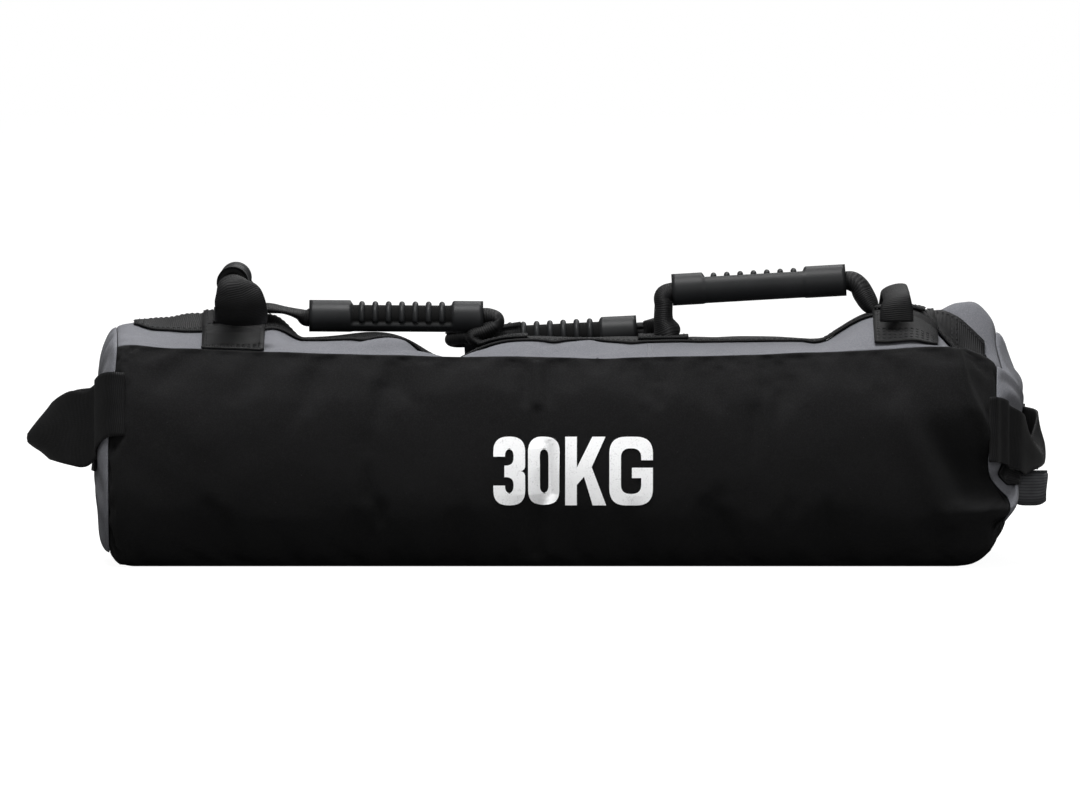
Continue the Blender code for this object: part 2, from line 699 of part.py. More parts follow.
def strap(name, foot_a, pull_a, grip_a, grip_b, pull_b, foot_b, across, widths, lead=LONG_PULL):
    # A webbing handle: a leg, the run inside the grip and the other leg.
    along = (grip_b - grip_a).normalized()
    first = bezier(foot_a, foot_a + pull_a, grip_a - along * lead, grip_a, LEG_STEPS)
    second = bezier(grip_b, grip_b + along * lead, foot_b + pull_b, foot_b, LEG_STEPS)
    sizes = leg_sizes(LEG_STEPS, *widths) + leg_sizes(LEG_STEPS, *widths)[::-1]
    route = first + second
    return sweep(name, route, sizes, [across] * len(route), BLACK_WEBBING)


def foot_height(surface, foot, gap=FOOT_GAP):
    return drop_on(surface, *foot).z + gap + FOOT_RADIUS


def scaled(length, shares):
    return Vector([length * share for share in shares])


def grip_ends(middle, across, lifts):
    # Both ends of a grip whose middle is at that place along the bag.
    rise = lifts[1] - lifts[0]
    drift = across[1] - across[0]
    half_run = 0.5 * sqrt(GRIP_LENGTH ** 2 - rise ** 2 - drift ** 2)
    first = Vector((middle - half_run, across[0], CREST_HEIGHT + lifts[0]))
    return first, Vector((middle + half_run, across[1], CREST_HEIGHT + lifts[1]))


def inline_feet(places, y, gap):
    # Both feet of an in-line handle, on whatever webbing lies under them.
    names = ["handle_patch_" + str(index + 1) for index in range(len(PATCH_PLACES))]
    surface = surface_of("centre_band", "cross_strap_left", "cross_strap_right", *names)
    return [Vector((x, y, foot_height(surface, (x, y), gap))) for x in places]


def inline_handles():
    upright = Vector((0, 1, 0))
    fallen = Vector((0, 0, 1))
    middle_line = (0.0, 0.0)
    leg = (LEG_WIDTH, LEG_THICKNESS)
    table = (
        ("left", LEFT_FEET, GRIP_MIDDLES[0], middle_line, LEFT_GRIP_LIFTS,
         LEFT_PULL_SHARES, upright, leg, LONG_PULL),
        ("middle", MIDDLE_FEET, GRIP_MIDDLES[1], MIDDLE_GRIP_ACROSS, MIDDLE_GRIP_LIFTS,
         MIDDLE_PULL_SHARES, fallen, MIDDLE_LEG, MIDDLE_LONG_PULL),
        ("right", RIGHT_FEET, GRIP_MIDDLES[2], middle_line, RIGHT_GRIP_LIFTS,
         RIGHT_PULL_SHARES, upright, leg, LONG_PULL),
    )
    for side, feet, middle, line, lifts, pull_shares, across, widths, lead in table:
        y = MIDDLE_FEET_ACROSS if side == "middle" else 0.0
        start, end = inline_feet(feet, y, UPRIGHT_FOOT_GAP if side == "right" else FOOT_GAP)
        place_a, place_b = grip_ends(middle, line, lifts)
        pull_a, pull_b = [scaled(LEG_PULL, shares) for shares in pull_shares]
        webbing = strap(side + "_handle_strap", start, pull_a, place_a, place_b,
                        pull_b, end, across, widths, lead)
        sleeve = grip(side + "_grip", place_a, place_b)
        put_origin(webbing, start)
        put_origin(sleeve, start)
        print(side, "axis from", list(start), "to", list(end))


def left_cross_handle():
    surface = surface_of("cross_strap_left")
    half = 0.5 * GRIP_LENGTH
    grip_a = Vector((CROSS_LEFT_PLACE, -half, CROSS_GRIP_HEIGHT))
    grip_b = Vector((CROSS_LEFT_PLACE, half, CROSS_GRIP_HEIGHT))
    near = (CROSS_LEFT_PLACE, CROSS_NEAR_FOOT)
    far = (CROSS_LEFT_PLACE, CROSS_FAR_FOOT)
    foot_a = Vector((*near, foot_height(surface, near, SLOPED_FOOT_GAP)))
    foot_b = Vector((*far, foot_height(surface, far, SLOPED_FOOT_GAP)))
    pull_a, pull_b = [scaled(CROSS_LEG_PULL, (0.0, *shares)) for shares in CROSS_PULL_SHARES]
    webbing = strap("left_cross_handle_strap", foot_a, pull_a, grip_a, grip_b, pull_b, foot_b,
                    Vector((1, 0, 0)), (CROSS_LEG_WIDTH, LEG_THICKNESS))
    sleeve = grip("left_cross_grip", grip_a, grip_b)
    put_origin(webbing, foot_a)
    put_origin(sleeve, foot_a)
    print("left cross axis from", list(foot_a), "to", list(foot_b))


def right_cross_handle():
    # Webbing with no sleeve, folded and lying low.
    surface = surface_of("cross_strap_right")
    near = (CROSS_RIGHT_PLACE, FOLDED_NEAR_FOOT)
    far = (CROSS_RIGHT_PLACE, FOLDED_FAR_FOOT)
    start = Vector((*near, foot_height(surface, near, FOLDED_FOOT_GAP)))
    end = Vector((*far, foot_height(surface, far, FOLDED_FOOT_GAP)))
    rise = Vector((0.0, 0.0, FOLDED_PULL))
    near_top = Vector((CROSS_RIGHT_PLACE, FOLDED_NEAR_FOOT, FOLDED_HEIGHT))
    far_top = Vector((CROSS_RIGHT_PLACE, FOLDED_FAR_FOOT, FOLDED_HEIGHT))
    inset = Vector((0.0, FOLDED_PULL, 0.0))
    route = bezier(start, start + rise, near_top, near_top + inset, LEG_STEPS)
    route += bezier(far_top - inset, far_top, end + rise, end, LEG_STEPS)
    foot = 2.0 * FOOT_RADIUS
    sizes = []
    for index in range(len(route)):
        share = min(1.0, min(index, len(route) - 1 - index) / (0.5 * LEG_STEPS))
        width = foot + (FOLDED_WIDTH - foot) * share
        sizes.append((width, foot + (FOLDED_THICKNESS - foot) * share))
    folded = sweep("right_cross_handle_strap", route, sizes, [Vector((1, 0, 0))] * len(route),
                   BLACK_WEBBING)
    put_origin(folded, start)
    print("right cross axis from", list(start), "to", list(end))


def face_point(surface, side, y, z):
    # Where a line along X from outside meets an end.
    far = 2.0 * HALF_LENGTH
    hit = surface.ray_cast(Vector((side * far, y, z)), Vector((-side, 0, 0)))
    return hit[0]


def end_patches(name, side, height):
    # The two sewn patches on a disc, under the feet of its handle.
    surface = surface_of("end_disc_" + name)
    patches = []
    for hand, place in ((-1.0, "_near"), (1.0, "_far")):
        middle = hand * END_HANDLE_HALF_SPAN
        ys = span(middle - 0.5 * END_PATCH_WIDTH, middle + 0.5 * END_PATCH_WIDTH, 3)
        zs = span(height - 0.5 * END_PATCH_HEIGHT, height + 0.5 * END_PATCH_HEIGHT, 5)
        grid = [[face_point(surface, side, y, z) for z in zs] for y in ys]
        patches.append("end_patch_" + name + place)
        sheet(patches[-1], grid, WEBBING_THICKNESS, BLACK_WEBBING, (side, 0, 0),
              WEBBING_THICKNESS + PATCH_LIFT_GAP)
    return surface_of(*patches)


def end_handle_size(share, foot_share):
    # Width and thickness: broad where it leaves the disc, folded together at its tip.
    spread = 1.0 - share ** HANDLE_TAPER_POWER
    width = END_HANDLE_FOLD_WIDTH + (END_HANDLE_BASE_WIDTH - END_HANDLE_FOLD_WIDTH) * spread
    thick = END_HANDLE_FOLD_THICKNESS
    thick += (END_HANDLE_THICKNESS - END_HANDLE_FOLD_THICKNESS) * spread
    return width + (2.0 * FOOT_RADIUS - width) * foot_share, thick


def end_handles():
    table = (
        ("left", -1.0, LEFT_HANDLE_HEIGHT, LEFT_HANDLE_REACH, 0.0),
        ("right", 1.0, RIGHT_HANDLE_HEIGHT, RIGHT_HANDLE_REACH, RIGHT_HANDLE_DROOP),
    )
    for name, side, height, reach, droop in table:
        patched = end_patches(name, side, height)
        off = Vector((side * (LAY_GAP + FOOT_RADIUS), 0.0, 0.0))
        near, far = [face_point(patched, side, hand * END_HANDLE_HALF_SPAN, height) + off
                     for hand in (-1.0, 1.0)]
        middle = 0.5 * (near + far)
        along = (far - near).normalized()
        tip = middle + Vector((side * reach, 0.0, -droop))
        out = Vector((side * HANDLE_LEAVE_SHARE * reach, 0.0, 0.0))
        flat = along * HANDLE_FLAT_SHARE * END_HANDLE_HALF_SPAN
        route = bezier(near, near + out, tip - flat, tip, LEG_STEPS)
        route += bezier(tip, tip + flat, far + out, far, LEG_STEPS)[1:]
        half_run = (far - near).length * 0.5
        sizes = []
        for point in route:
            beside = abs((point - middle).dot(along)) / half_run
            foot_share = max(0.0, 1.0 - (1.0 - beside) / HANDLE_SHOULDER_SHARE)
            run = near + (far - near) * (0.5 + 0.5 * (point - middle).dot(along) / half_run)
            share = min(max((point.x - run.x) * side / reach, 0.0), 1.0)
            sizes.append(end_handle_size(share, foot_share))
        # Each foot ends in a nose that is round about the joint's axis.
        for share in NOSE_SHARES:
            back = Vector((side * FOOT_RADIUS * share, 0.0, 0.0))
            nose = (2.0 * FOOT_RADIUS * sqrt(1.0 - share * share), END_HANDLE_THICKNESS)
            route = [near - back] + route + [far - back]
            sizes = [nose] + sizes + [nose]
        across = [Vector((0, 0, 1))] * len(route)
        handle = sweep("end_handle_" + name, route, sizes, across, BLACK_WEBBING)
        put_origin(handle, near)
        print(name, "end handle axis from", list(near), "to", list(far))


def loop_tab():
    surface = surface_of("end_disc_right")
    high = face_point(surface, 1.0, 0.0, TAB_HEIGHT + TAB_RISE)
    low = face_point(surface, 1.0, 0.0, TAB_HEIGHT - TAB_RISE)
    off = Vector((TAB_LIFT_GAP, 0.0, 0.0))
    reach = Vector((TAB_REACH, 0.0, 0.0))
    route = bezier(high + off, high + off + reach, low + off + reach, low + off, 2 * LEG_STEPS)
    sides = [face_point(surface, 1.0, hand * 0.5 * TAB_WIDTH, TAB_HEIGHT) for hand in (-1.0, 1.0)]
    half = 0.5 * (sides[1] - sides[0])
    outer = []
    inner = []
    for index, place in enumerate(route):
        before = route[max(index - 1, 0)]
        after = route[min(index + 1, len(route) - 1)]
        normal = (after - before).cross(half).normalized()
        for shift in (-half, half):
            outer.append(place + shift - normal * 0.5 * WEBBING_THICKNESS)
            inner.append(place + shift + normal * 0.5 * WEBBING_THICKNESS)
    add_piece("loop_tab_right", *closed_grid(outer, inner, len(route), 2), GREY_WEBBING)


def prism(name, outline, start, end, axis, look):
    # Carries a flat outline along an axis: 0 is X, 1 is Y.
    points = []
    for place in (start, end):
        for first, second in outline:
            points.append((place, first, second) if axis == 0 else (first, place, second))
    count = len(outline)
    faces = [list(range(count))[::-1], list(range(count, 2 * count))]
    for index in range(count):
        after = (index + 1) % count
        faces.append([index, after, count + after, count + index])
    return add_piece(name, points, faces, look, smooth=False)


def zip_fittings():
    middle = SEAM_HALF_DEPTH - 0.5 * ZIP_STRIP_WIDTH
    tape_top = ZIP_HEIGHT
    offset = 0.5 * COIL_PARTING + COIL_RADIUS
    coil_height = tape_top + SEAM_GAP + COIL_RADIUS
    for name, place in (("zip_coil_inner", middle - offset), ("zip_coil_outer", middle + offset)):
        outline = []
        for step in range(COIL_SIDES):
            angle = 2.0 * pi * (step + 0.5) / COIL_SIDES
            outline.append((place + COIL_RADIUS * cos(angle), coil_height + COIL_RADIUS * sin(angle)))
        prism(name, outline, -COIL_HALF_LENGTH, COIL_HALF_LENGTH, 0, BLACK_WEBBING)
    coil_top = coil_height + COIL_RADIUS
    coil_reach = offset + COIL_RADIUS

    wide = coil_reach + SEAM_GAP
    clip = [(-wide - STOP_THICKNESS, tape_top + SEAM_GAP), (-wide, tape_top + SEAM_GAP),
            (-wide, coil_top + SEAM_GAP), (wide, coil_top + SEAM_GAP), (wide, tape_top + SEAM_GAP),
            (wide + STOP_THICKNESS, tape_top + SEAM_GAP),
            (wide + STOP_THICKNESS, coil_top + SEAM_GAP + STOP_THICKNESS),
            (-wide - STOP_THICKNESS, coil_top + SEAM_GAP + STOP_THICKNESS)]
    clip = [(middle + y, z) for y, z in clip]
    stops = (("left", -COIL_HALF_LENGTH), ("right", COIL_HALF_LENGTH - STOP_LENGTH))
    for side, place in stops:
        prism("zip_stop_" + side, clip, place, place + STOP_LENGTH, 0, ZIP_METAL)

    plate_low = coil_top + RUN_GAP
    plate_top = plate_low + SLIDER_PLATE
    floor_top = tape_top - TAPE_THICKNESS - RUN_GAP
    floor_low = floor_top - SLIDER_PLATE
    post = 0.5 * SLIDER_POST
    half = 0.5 * SLIDER_WIDTH
    flange_in = half - SLIDER_FLANGE
    flange_low = tape_top + RUN_GAP
    section = [(-half, flange_low), (-flange_in, flange_low), (-flange_in, plate_low),
               (-post, plate_low), (-post, floor_top), (-half, floor_top), (-half, floor_low),
               (half, floor_low), (half, floor_top), (post, floor_top), (post, plate_low),
               (flange_in, plate_low), (flange_in, flange_low), (half, flange_low),
               (half, plate_top), (-half, plate_top)]
    section = [(middle + y, z) for y, z in section]
    start = SLIDER_PLACE - 0.5 * SLIDER_LENGTH
    slider = prism("zip_slider", section, start, start + SLIDER_LENGTH, 0, ZIP_METAL)

    pivot_height = plate_top + PIVOT_LIFT
    arch_low = pivot_height + PIVOT_LIFT
    reach = 0.5 * BRIDGE_SPAN
    foot = plate_top - 0.5 * SLIDER_PLATE
    arch = [(-reach, foot), (-reach, arch_low + BRIDGE_BAR), (reach, arch_low + BRIDGE_BAR),
            (reach, foot), (reach - BRIDGE_BAR, foot), (reach - BRIDGE_BAR, arch_low),
            (-reach + BRIDGE_BAR, arch_low), (-reach + BRIDGE_BAR, foot)]
    arch = [(SLIDER_PLACE + x, z) for x, z in arch]
    near = middle - 0.5 * BRIDGE_WIDTH
    bridge = prism("zip_bridge", arch, near, near + BRIDGE_WIDTH, 1, ZIP_METAL)
    bridge.hide_render = True
    bridge.display_type = "WIRE"
    union = slider.modifiers.new("bridge", "BOOLEAN")
    union.operation = "UNION"
    union.object = bridge

    thin = 0.5 * PULL_THICKNESS
    outline = [(thin, -0.5 * PULL_WIDTH), (thin, 0.5 * PULL_WIDTH),
               (thin - PULL_LENGTH, 0.35 * PULL_WIDTH), (thin - PULL_LENGTH, -0.35 * PULL_WIDTH)]
    window = [(-thin, -0.5 * PULL_WINDOW_WIDTH), (-thin, 0.5 * PULL_WINDOW_WIDTH),
              (-thin - PULL_WINDOW, 0.5 * PULL_WINDOW_WIDTH),
              (-thin - PULL_WINDOW, -0.5 * PULL_WINDOW_WIDTH)]
    points = []
    for height in (-thin, thin):
        points += [(SLIDER_PLACE + x, middle + y, pivot_height + height) for x, y in outline + window]
    faces = []
    for index in range(4):
        after = (index + 1) % 4
        faces.append([index, after, 4 + after, 4 + index])
        faces.append([8 + after, 8 + index, 12 + index, 12 + after])
        faces.append([after, index, 8 + index, 8 + after])
        faces.append([4 + index, 4 + after, 12 + after, 12 + index])
    pull = add_piece("zip_pull", points, faces, ZIP_METAL, smooth=False)
    put_origin(pull, (SLIDER_PLACE, middle, pivot_height))
    print("pull pivot", [round(value, 5) for value in pull.location])


def filler_bags():
    floor = SKIN + SEAM_GAP
    length = 2.0 * FILLER_HALF_RUN / FILLER_COUNT
    for number in range(FILLER_COUNT):
        middle = -FILLER_HALF_RUN + (number + 0.5) * length
        half = 0.5 * (length - FILLER_GAP)
        outline = section_outline()
        points = []
        for share in PILLOW_SHARES:
            fat = FILLER_END_SHARE + (1.0 - FILLER_END_SHARE) * sqrt(1.0 - share ** PILLOW_POWER)
            x = middle + half * share
            lift = settle(x, 0.0, 0.0).z
            for y, z in outline:
                height = floor + lift + (FILLER_ROOF - floor - lift) * z * fat
                points.append((x, BELLY_HALF_DEPTH * FILLER_DEPTH_SHARE * y * fat, height))
        count = len(outline)
        faces = [list(range(count))[::-1]]
        for ring in range(len(PILLOW_SHARES) - 1):
            for index in range(count):
                after = (index + 1) % count
                low = ring * count
                faces.append([low + index, low + after, low + count + after, low + count + index])
        faces.append([(len(PILLOW_SHARES) - 1) * count + index for index in range(count)])
        add_piece("filler_bag_" + str(number + 1), points, faces, FILLER_FABRIC)
        flap_low = FILLER_ROOF + SEAM_GAP
        half_flap = 0.5 * FLAP_WIDTH
        outline = [(-half_flap, flap_low), (half_flap, flap_low),
                   (half_flap, flap_low + FLAP_THICKNESS), (-half_flap, flap_low + FLAP_THICKNESS)]
        outline = [(y - FLAP_SHIFT_SHARE * FLAP_WIDTH, z) for y, z in outline]
        prism("filler_flap_" + str(number + 1), outline, middle - 0.5 * FLAP_LENGTH,
              middle + 0.5 * FLAP_LENGTH, 0, FILLER_FABRIC)


def section_outline():
    # A pillow's section as shares of its half depth and its height: flat below, crowned above.
    outline = []
    for step in range(PILLOW_SIDES):
        angle = 2.0 * pi * (step + 0.5) / PILLOW_SIDES
        y = abs(cos(angle)) ** PILLOW_SECTION_POWER * (1.0 if cos(angle) > 0.0 else -1.0)
        z = abs(sin(angle)) ** PILLOW_SECTION_POWER * (1.0 if sin(angle) > 0.0 else -1.0)
        outline.append((y, 0.5 + 0.5 * z))
    low = min(z for y, z in outline)
    high = max(z for y, z in outline)
    return [(y, (z - low) / (high - low)) for y, z in outline]


clear_scene()
body_panels()
end_disc("end_disc_left", -HALF_LENGTH, LEFT_BULGE, GREY_FABRIC)
end_disc("end_disc_right", HALF_LENGTH, RIGHT_BULGE, GREY_FABRIC)
top_webbing()
handle_patches()
inline_handles()
left_cross_handle()
right_cross_handle()
end_handles()
loop_tab()
zip_fittings()
filler_bags()
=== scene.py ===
from math import atan2, cos, exp, hypot, pi, radians, sin, sqrt

import bmesh
import bpy
from mathutils import Matrix, Vector, noise
from mathutils.bvhtree import BVHTree


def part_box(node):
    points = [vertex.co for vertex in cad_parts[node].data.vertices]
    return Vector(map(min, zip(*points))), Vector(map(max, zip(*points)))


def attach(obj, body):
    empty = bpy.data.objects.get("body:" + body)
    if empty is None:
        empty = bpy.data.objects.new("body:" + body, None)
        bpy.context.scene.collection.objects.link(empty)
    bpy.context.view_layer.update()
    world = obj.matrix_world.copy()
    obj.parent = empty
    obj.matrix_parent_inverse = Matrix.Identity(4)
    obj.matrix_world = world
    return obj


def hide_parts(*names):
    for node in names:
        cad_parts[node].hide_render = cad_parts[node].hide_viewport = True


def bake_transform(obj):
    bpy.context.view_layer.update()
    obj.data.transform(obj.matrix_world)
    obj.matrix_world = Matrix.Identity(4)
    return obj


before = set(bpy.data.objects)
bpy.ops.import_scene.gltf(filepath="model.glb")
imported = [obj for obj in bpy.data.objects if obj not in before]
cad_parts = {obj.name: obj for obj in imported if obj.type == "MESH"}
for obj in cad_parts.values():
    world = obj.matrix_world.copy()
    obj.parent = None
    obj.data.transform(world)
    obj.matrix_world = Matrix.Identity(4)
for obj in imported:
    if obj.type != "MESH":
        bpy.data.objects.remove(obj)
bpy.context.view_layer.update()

up = Vector((0, 0, 1))
alongBag = Vector((1, 0, 0))
acrossBag = Vector((0, 1, 0))


# shader graphs

class Value:
    # a number socket that works in sums
    def __init__(self, graph, socket):
        self.graph = graph
        self.socket = socket

    def math(self, operation, *others):
        return self.graph.node("ShaderNodeMath", {"operation": operation}, [self, *others])

    def flipped(self, operation, other):
        return self.graph.node("ShaderNodeMath", {"operation": operation}, [other, self])

    def __add__(self, other):
        return self.math("ADD", other)

    def __sub__(self, other):
        return self.math("SUBTRACT", other)

    def __rsub__(self, other):
        return self.flipped("SUBTRACT", other)

    def __mul__(self, other):
        return self.math("MULTIPLY", other)

    def __truediv__(self, other):
        return self.math("DIVIDE", other)

    def __rtruediv__(self, other):
        return self.flipped("DIVIDE", other)

    __radd__ = __add__
    __rmul__ = __mul__

    def wave(self, pitch):
        return (self * (2 * pi / pitch)).math("SINE")

    def smooth(self, low, high):
        return self.graph.node("ShaderNodeMapRange", {"interpolation_type": "SMOOTHSTEP"},
                               {"Value": self, "From Min": low, "From Max": high})


class Graph:
    def __init__(self, name):
        self.material = bpy.data.materials.new(name)
        self.material.use_nodes = True
        self.nodes = self.material.node_tree.nodes
        self.links = self.material.node_tree.links
        self.shader = self.nodes["Principled BSDF"]

    def put(self, socket, value):
        if isinstance(value, Value):
            self.links.new(value.socket, socket)
        else:
            socket.default_value = value

    def node(self, kind, settings=None, inputs=(), output=0):
        made = self.nodes.new(kind)
        for key, value in (settings or {}).items():
            if key == "stops":
                ramp = made.color_ramp
                while len(ramp.elements) < len(value):
                    ramp.elements.new(0.5)
                for element, (place, colour) in zip(ramp.elements, value):
                    element.position = place
                    element.color = (*colour, 1)
            else:
                setattr(made, key, value)
        pairs = inputs.items() if isinstance(inputs, dict) else enumerate(inputs)
        for key, value in pairs:
            self.put(made.inputs[key], value)
        return Value(self, made.outputs[output])

    def set(self, values):
        for name, value in values.items():
            self.put(self.shader.inputs[name], value)
        return self.material

    def place(self):
        return self.node("ShaderNodeTexCoord", output=3)

    def axes(self, vector):
        split = self.node("ShaderNodeSeparateXYZ", inputs=[vector])
        outputs = split.socket.node.outputs
        return [Value(self, outputs[index]) for index in range(3)]

    def cloth(self):
        # metres along and across a woven piece, from its own map
        return self.axes(self.node("ShaderNodeUVMap", {"uv_map": "cloth"}))[:2]

    def noise(self, vector, scale, detail=2.0, roughness=0.5):
        return self.node("ShaderNodeTexNoise", inputs={"Vector": vector, "Scale": scale,
                                                       "Detail": detail, "Roughness": roughness})

    def mix(self, share, first, second):
        made = self.nodes.new("ShaderNodeMix")
        made.data_type = "RGBA"
        for index, value in ((0, share), (6, first), (7, second)):
            if isinstance(value, tuple):
                value = (*value, 1) if len(value) == 3 else value
            self.put(made.inputs[index], value)
        return Value(self, made.outputs[2])

    def bump(self, height, distance, strength=1.0, under=None):
        inputs = {"Height": height, "Distance": distance, "Strength": strength}
        if under is not None:
            inputs["Normal"] = under
        return self.node("ShaderNodeBump", inputs=inputs)


def fabricMaterial(name, look):
    # plain woven cloth: over and under threads, uneven dye, a little lint, and painted shade toward the
    # bottom where a height range is given
    graph = Graph(name)
    spot = graph.place()
    u, v = graph.axes(spot)[:2] if look.get("mapless") else graph.cloth()
    weave = u.wave(look["pitch"]) * v.wave(look["pitch"])
    slub = graph.noise(spot, look["slubScale"], 3.0)
    cloud = graph.noise(spot, look["cloudScale"], 4.0, 0.6)
    thread = weave * 0.5 + 0.5
    shade = graph.mix(cloud.smooth(*look["cloudOver"]), look["dark"], look["colour"])
    shade = graph.mix(thread * look["threadShare"] * slub, shade, look["light"])
    grain = graph.noise(spot, look["grainScale"], 2.0, 0.6).smooth(*look["grainOver"])
    shade = graph.mix(grain * look["grainShare"], shade, look["light"])
    # painted shade: the cloth is darkened toward the bottom, where light from above falls less
    if "paintedShadeFade" in look:
        paintedShade = 1 - graph.axes(spot)[2].smooth(*look["paintedShadeFade"])
        shade = graph.mix(paintedShade * look["paintedShadeShare"], shade, look["dark"])
    lint = graph.noise(spot, look["lintScale"], 1.0).smooth(*look["lintOver"])
    shade = graph.mix(lint * look["lintShare"], shade, look["lint"])
    creases = graph.noise(spot, look["creaseScale"], 3.0, 0.55)
    soft = graph.bump(creases, look["creaseDepth"])
    normal = graph.bump(thread + slub * look["slubShare"], look["weaveDepth"], 1.0, soft)
    return graph.set({"Base Color": shade, "Roughness": cloud * look["uneven"] + look["roughness"],
                      "Normal": normal, "Sheen Weight": look["sheen"], "Sheen Roughness": 0.45,
                      "Specular IOR Level": look["specular"]})


def webbingMaterial(name, look):
    # heavy tape: ribs across it in a shallow chevron
    graph = Graph(name)
    u, v = graph.cloth()
    spot = graph.place()
    chevron = (v / look["chevron"]).math("PINGPONG", 1.0) * look["slant"]
    ribs = (u + chevron).wave(look["pitch"]) * 0.5 + 0.5
    yarn = v.wave(look["yarn"]) * 0.5 + 0.5
    relief = ribs * (yarn * look["yarnShare"] + (1 - look["yarnShare"]))
    wear = graph.noise(spot, look["wearScale"], 4.0, 0.65)
    shade = graph.mix(wear.smooth(*look["wearOver"]), look["dark"], look["colour"])
    shade = graph.mix(relief * look["threadShare"] * wear, shade, look["light"])
    normal = graph.bump(relief, look["weaveDepth"])
    return graph.set({"Base Color": shade, "Roughness": relief * look["uneven"] + look["roughness"],
                      "Normal": normal, "Sheen Weight": look["sheen"], "Sheen Roughness": 0.4,
                      "Specular IOR Level": look["specular"]})


def rubberMaterial(name, look):
    # moulded rubber: fine grain, faint flow marks, specks of dust, and painted shade in the grooves between
    # the ribs
    graph = Graph(name)
    spot = graph.place()
    grain = graph.noise(spot, look["grainScale"], 2.0)
    flow = graph.noise(spot, look["flowScale"], 4.0, 0.6)
    shade = graph.mix(flow.smooth(*look["flowOver"]), look["dark"], look["colour"])
    dust = graph.noise(spot, look["dustScale"], 3.0, 0.7).smooth(*look["dustOver"])
    shade = graph.mix(dust * look["dustShare"], shade, look["dust"])
    # painted shade: the grip's waist between the ribs and its bore darkened, from the sleeve's gap
    # attribute
    gap = graph.node("ShaderNodeAttribute", {"attribute_name": "gap"}, output=2)
    shade = graph.mix(gap, shade, look["low"])
    normal = graph.bump(grain, look["grainDepth"])
    roughness = flow * look["uneven"] + look["roughness"] + gap * look["gapRoughness"]
    return graph.set({"Base Color": shade, "Roughness": roughness, "Normal": normal,
                      "Specular IOR Level": look["specular"]})


def metalMaterial(name, look):
    graph = Graph(name)
    spot = graph.place()
    scratch = graph.noise(spot, look["scratchScale"], 3.0, 0.6)
    shade = graph.mix(scratch.smooth(*look["scratchOver"]), look["dark"], look["colour"])
    normal = graph.bump(scratch, look["scratchDepth"])
    return graph.set({"Base Color": shade, "Metallic": 1.0, "Normal": normal,
                      "Roughness": scratch * look["uneven"] + look["roughness"]})


fabric = {"pitch": 0.0011, "grainScale": 900.0, "grainShare": 0.3, "slubScale": 900.0,
          "cloudScale": 9.0, "threadShare": 0.7, "lintScale": 420.0, "lintShare": 0.35,
          "creaseScale": 26.0, "creaseDepth": 0.0012, "weaveDepth": 0.00022, "slubShare": 0.4,
          "cloudOver": (0.3, 0.75), "grainOver": (0.45, 0.62), "lintOver": (0.78, 0.84),
          "paintedShadeShare": 0.5, "roughness": 0.78, "uneven": 0.12, "sheen": 0.01, "specular": 0.12}
# the black cloth carries painted shade, darker toward the bottom
blackFabric = fabricMaterial("blackFabric", {**fabric, "colour": (0.0058, 0.0058, 0.0061),
                             "dark": (0.0036, 0.0036, 0.0038), "light": (0.0150, 0.0150, 0.0155),
                             "lint": (0.035, 0.035, 0.035), "paintedShadeFade": (0.075, 0.145)})
greyFabric = fabricMaterial("greyFabric", {**fabric, "colour": (0.118, 0.120, 0.132),
                            "dark": (0.090, 0.092, 0.102), "light": (0.185, 0.187, 0.203),
                            "lint": (0.17, 0.17, 0.175), "sheen": 0.04, "roughness": 0.74,
                            "creaseDepth": 0.0016})
fillerFabric = fabricMaterial("fillerFabric", {**fabric, "colour": (0.055, 0.055, 0.060),
                              "dark": (0.040, 0.040, 0.043), "light": (0.09, 0.09, 0.095),
                              "lint": (0.12, 0.12, 0.12), "mapless": True})
webbing = {"pitch": 0.0017, "chevron": 0.0125, "slant": 0.0014, "yarn": 0.0009,
           "yarnShare": 0.35, "wearScale": 40.0, "wearOver": (0.35, 0.8), "threadShare": 0.6,
           "weaveDepth": 0.00022, "roughness": 0.62, "uneven": -0.1, "sheen": 0.01, "specular": 0.14}
blackWebbing = webbingMaterial("blackWebbing", {**webbing, "colour": (0.0060, 0.0060, 0.0063),
                               "dark": (0.0034, 0.0034, 0.0036), "light": (0.024, 0.024, 0.025)})
greyWebbing = webbingMaterial("greyWebbing", {**webbing, "colour": (0.060, 0.061, 0.066),
                              "dark": (0.031, 0.032, 0.035), "light": (0.17, 0.17, 0.175),
                              "slant": 0.0, "pitch": 0.0024})
# low is the colour of the painted shade in the grip's grooves
rubber = {"grainScale": 1500.0, "grainDepth": 0.00006, "flowScale": 30.0, "flowOver": (0.3, 0.8),
          "dustScale": 160.0, "dustOver": (0.62, 0.8), "dustShare": 0.25, "roughness": 0.40,
          "uneven": 0.16, "gapRoughness": 0.45, "specular": 0.17, "colour": (0.0150, 0.0155, 0.0165),
          "dark": (0.0100, 0.0105, 0.0110), "dust": (0.05, 0.05, 0.05), "low": (0.0022, 0.0022, 0.0022)}
gripRubber = rubberMaterial("gripRubber", rubber)
zipMetal = metalMaterial("zipMetal", {"scratchScale": 700.0, "scratchDepth": 0.00005,
                         "scratchOver": (0.4, 0.8), "colour": (0.11, 0.11, 0.115),
                         "dark": (0.06, 0.06, 0.065), "roughness": 0.28, "uneven": 0.2})
thread = {**rubber, "grainScale": 2400.0, "grainDepth": 0.0001}
blackThread = rubberMaterial("blackThread", {**thread, "roughness": 0.55,
                             "colour": (0.020, 0.020, 0.021), "dust": (0.07, 0.07, 0.07)})
greyThread = rubberMaterial("greyThread", {**thread, "roughness": 0.6, "colour": (0.20, 0.20, 0.215),
                            "dark": (0.13, 0.13, 0.14), "dust": (0.3, 0.3, 0.3)})
print("materials made")


# meshes

def link(name, data):
    piece = bpy.data.objects.new(name, data)
    bpy.context.scene.collection.objects.link(piece)
    return piece


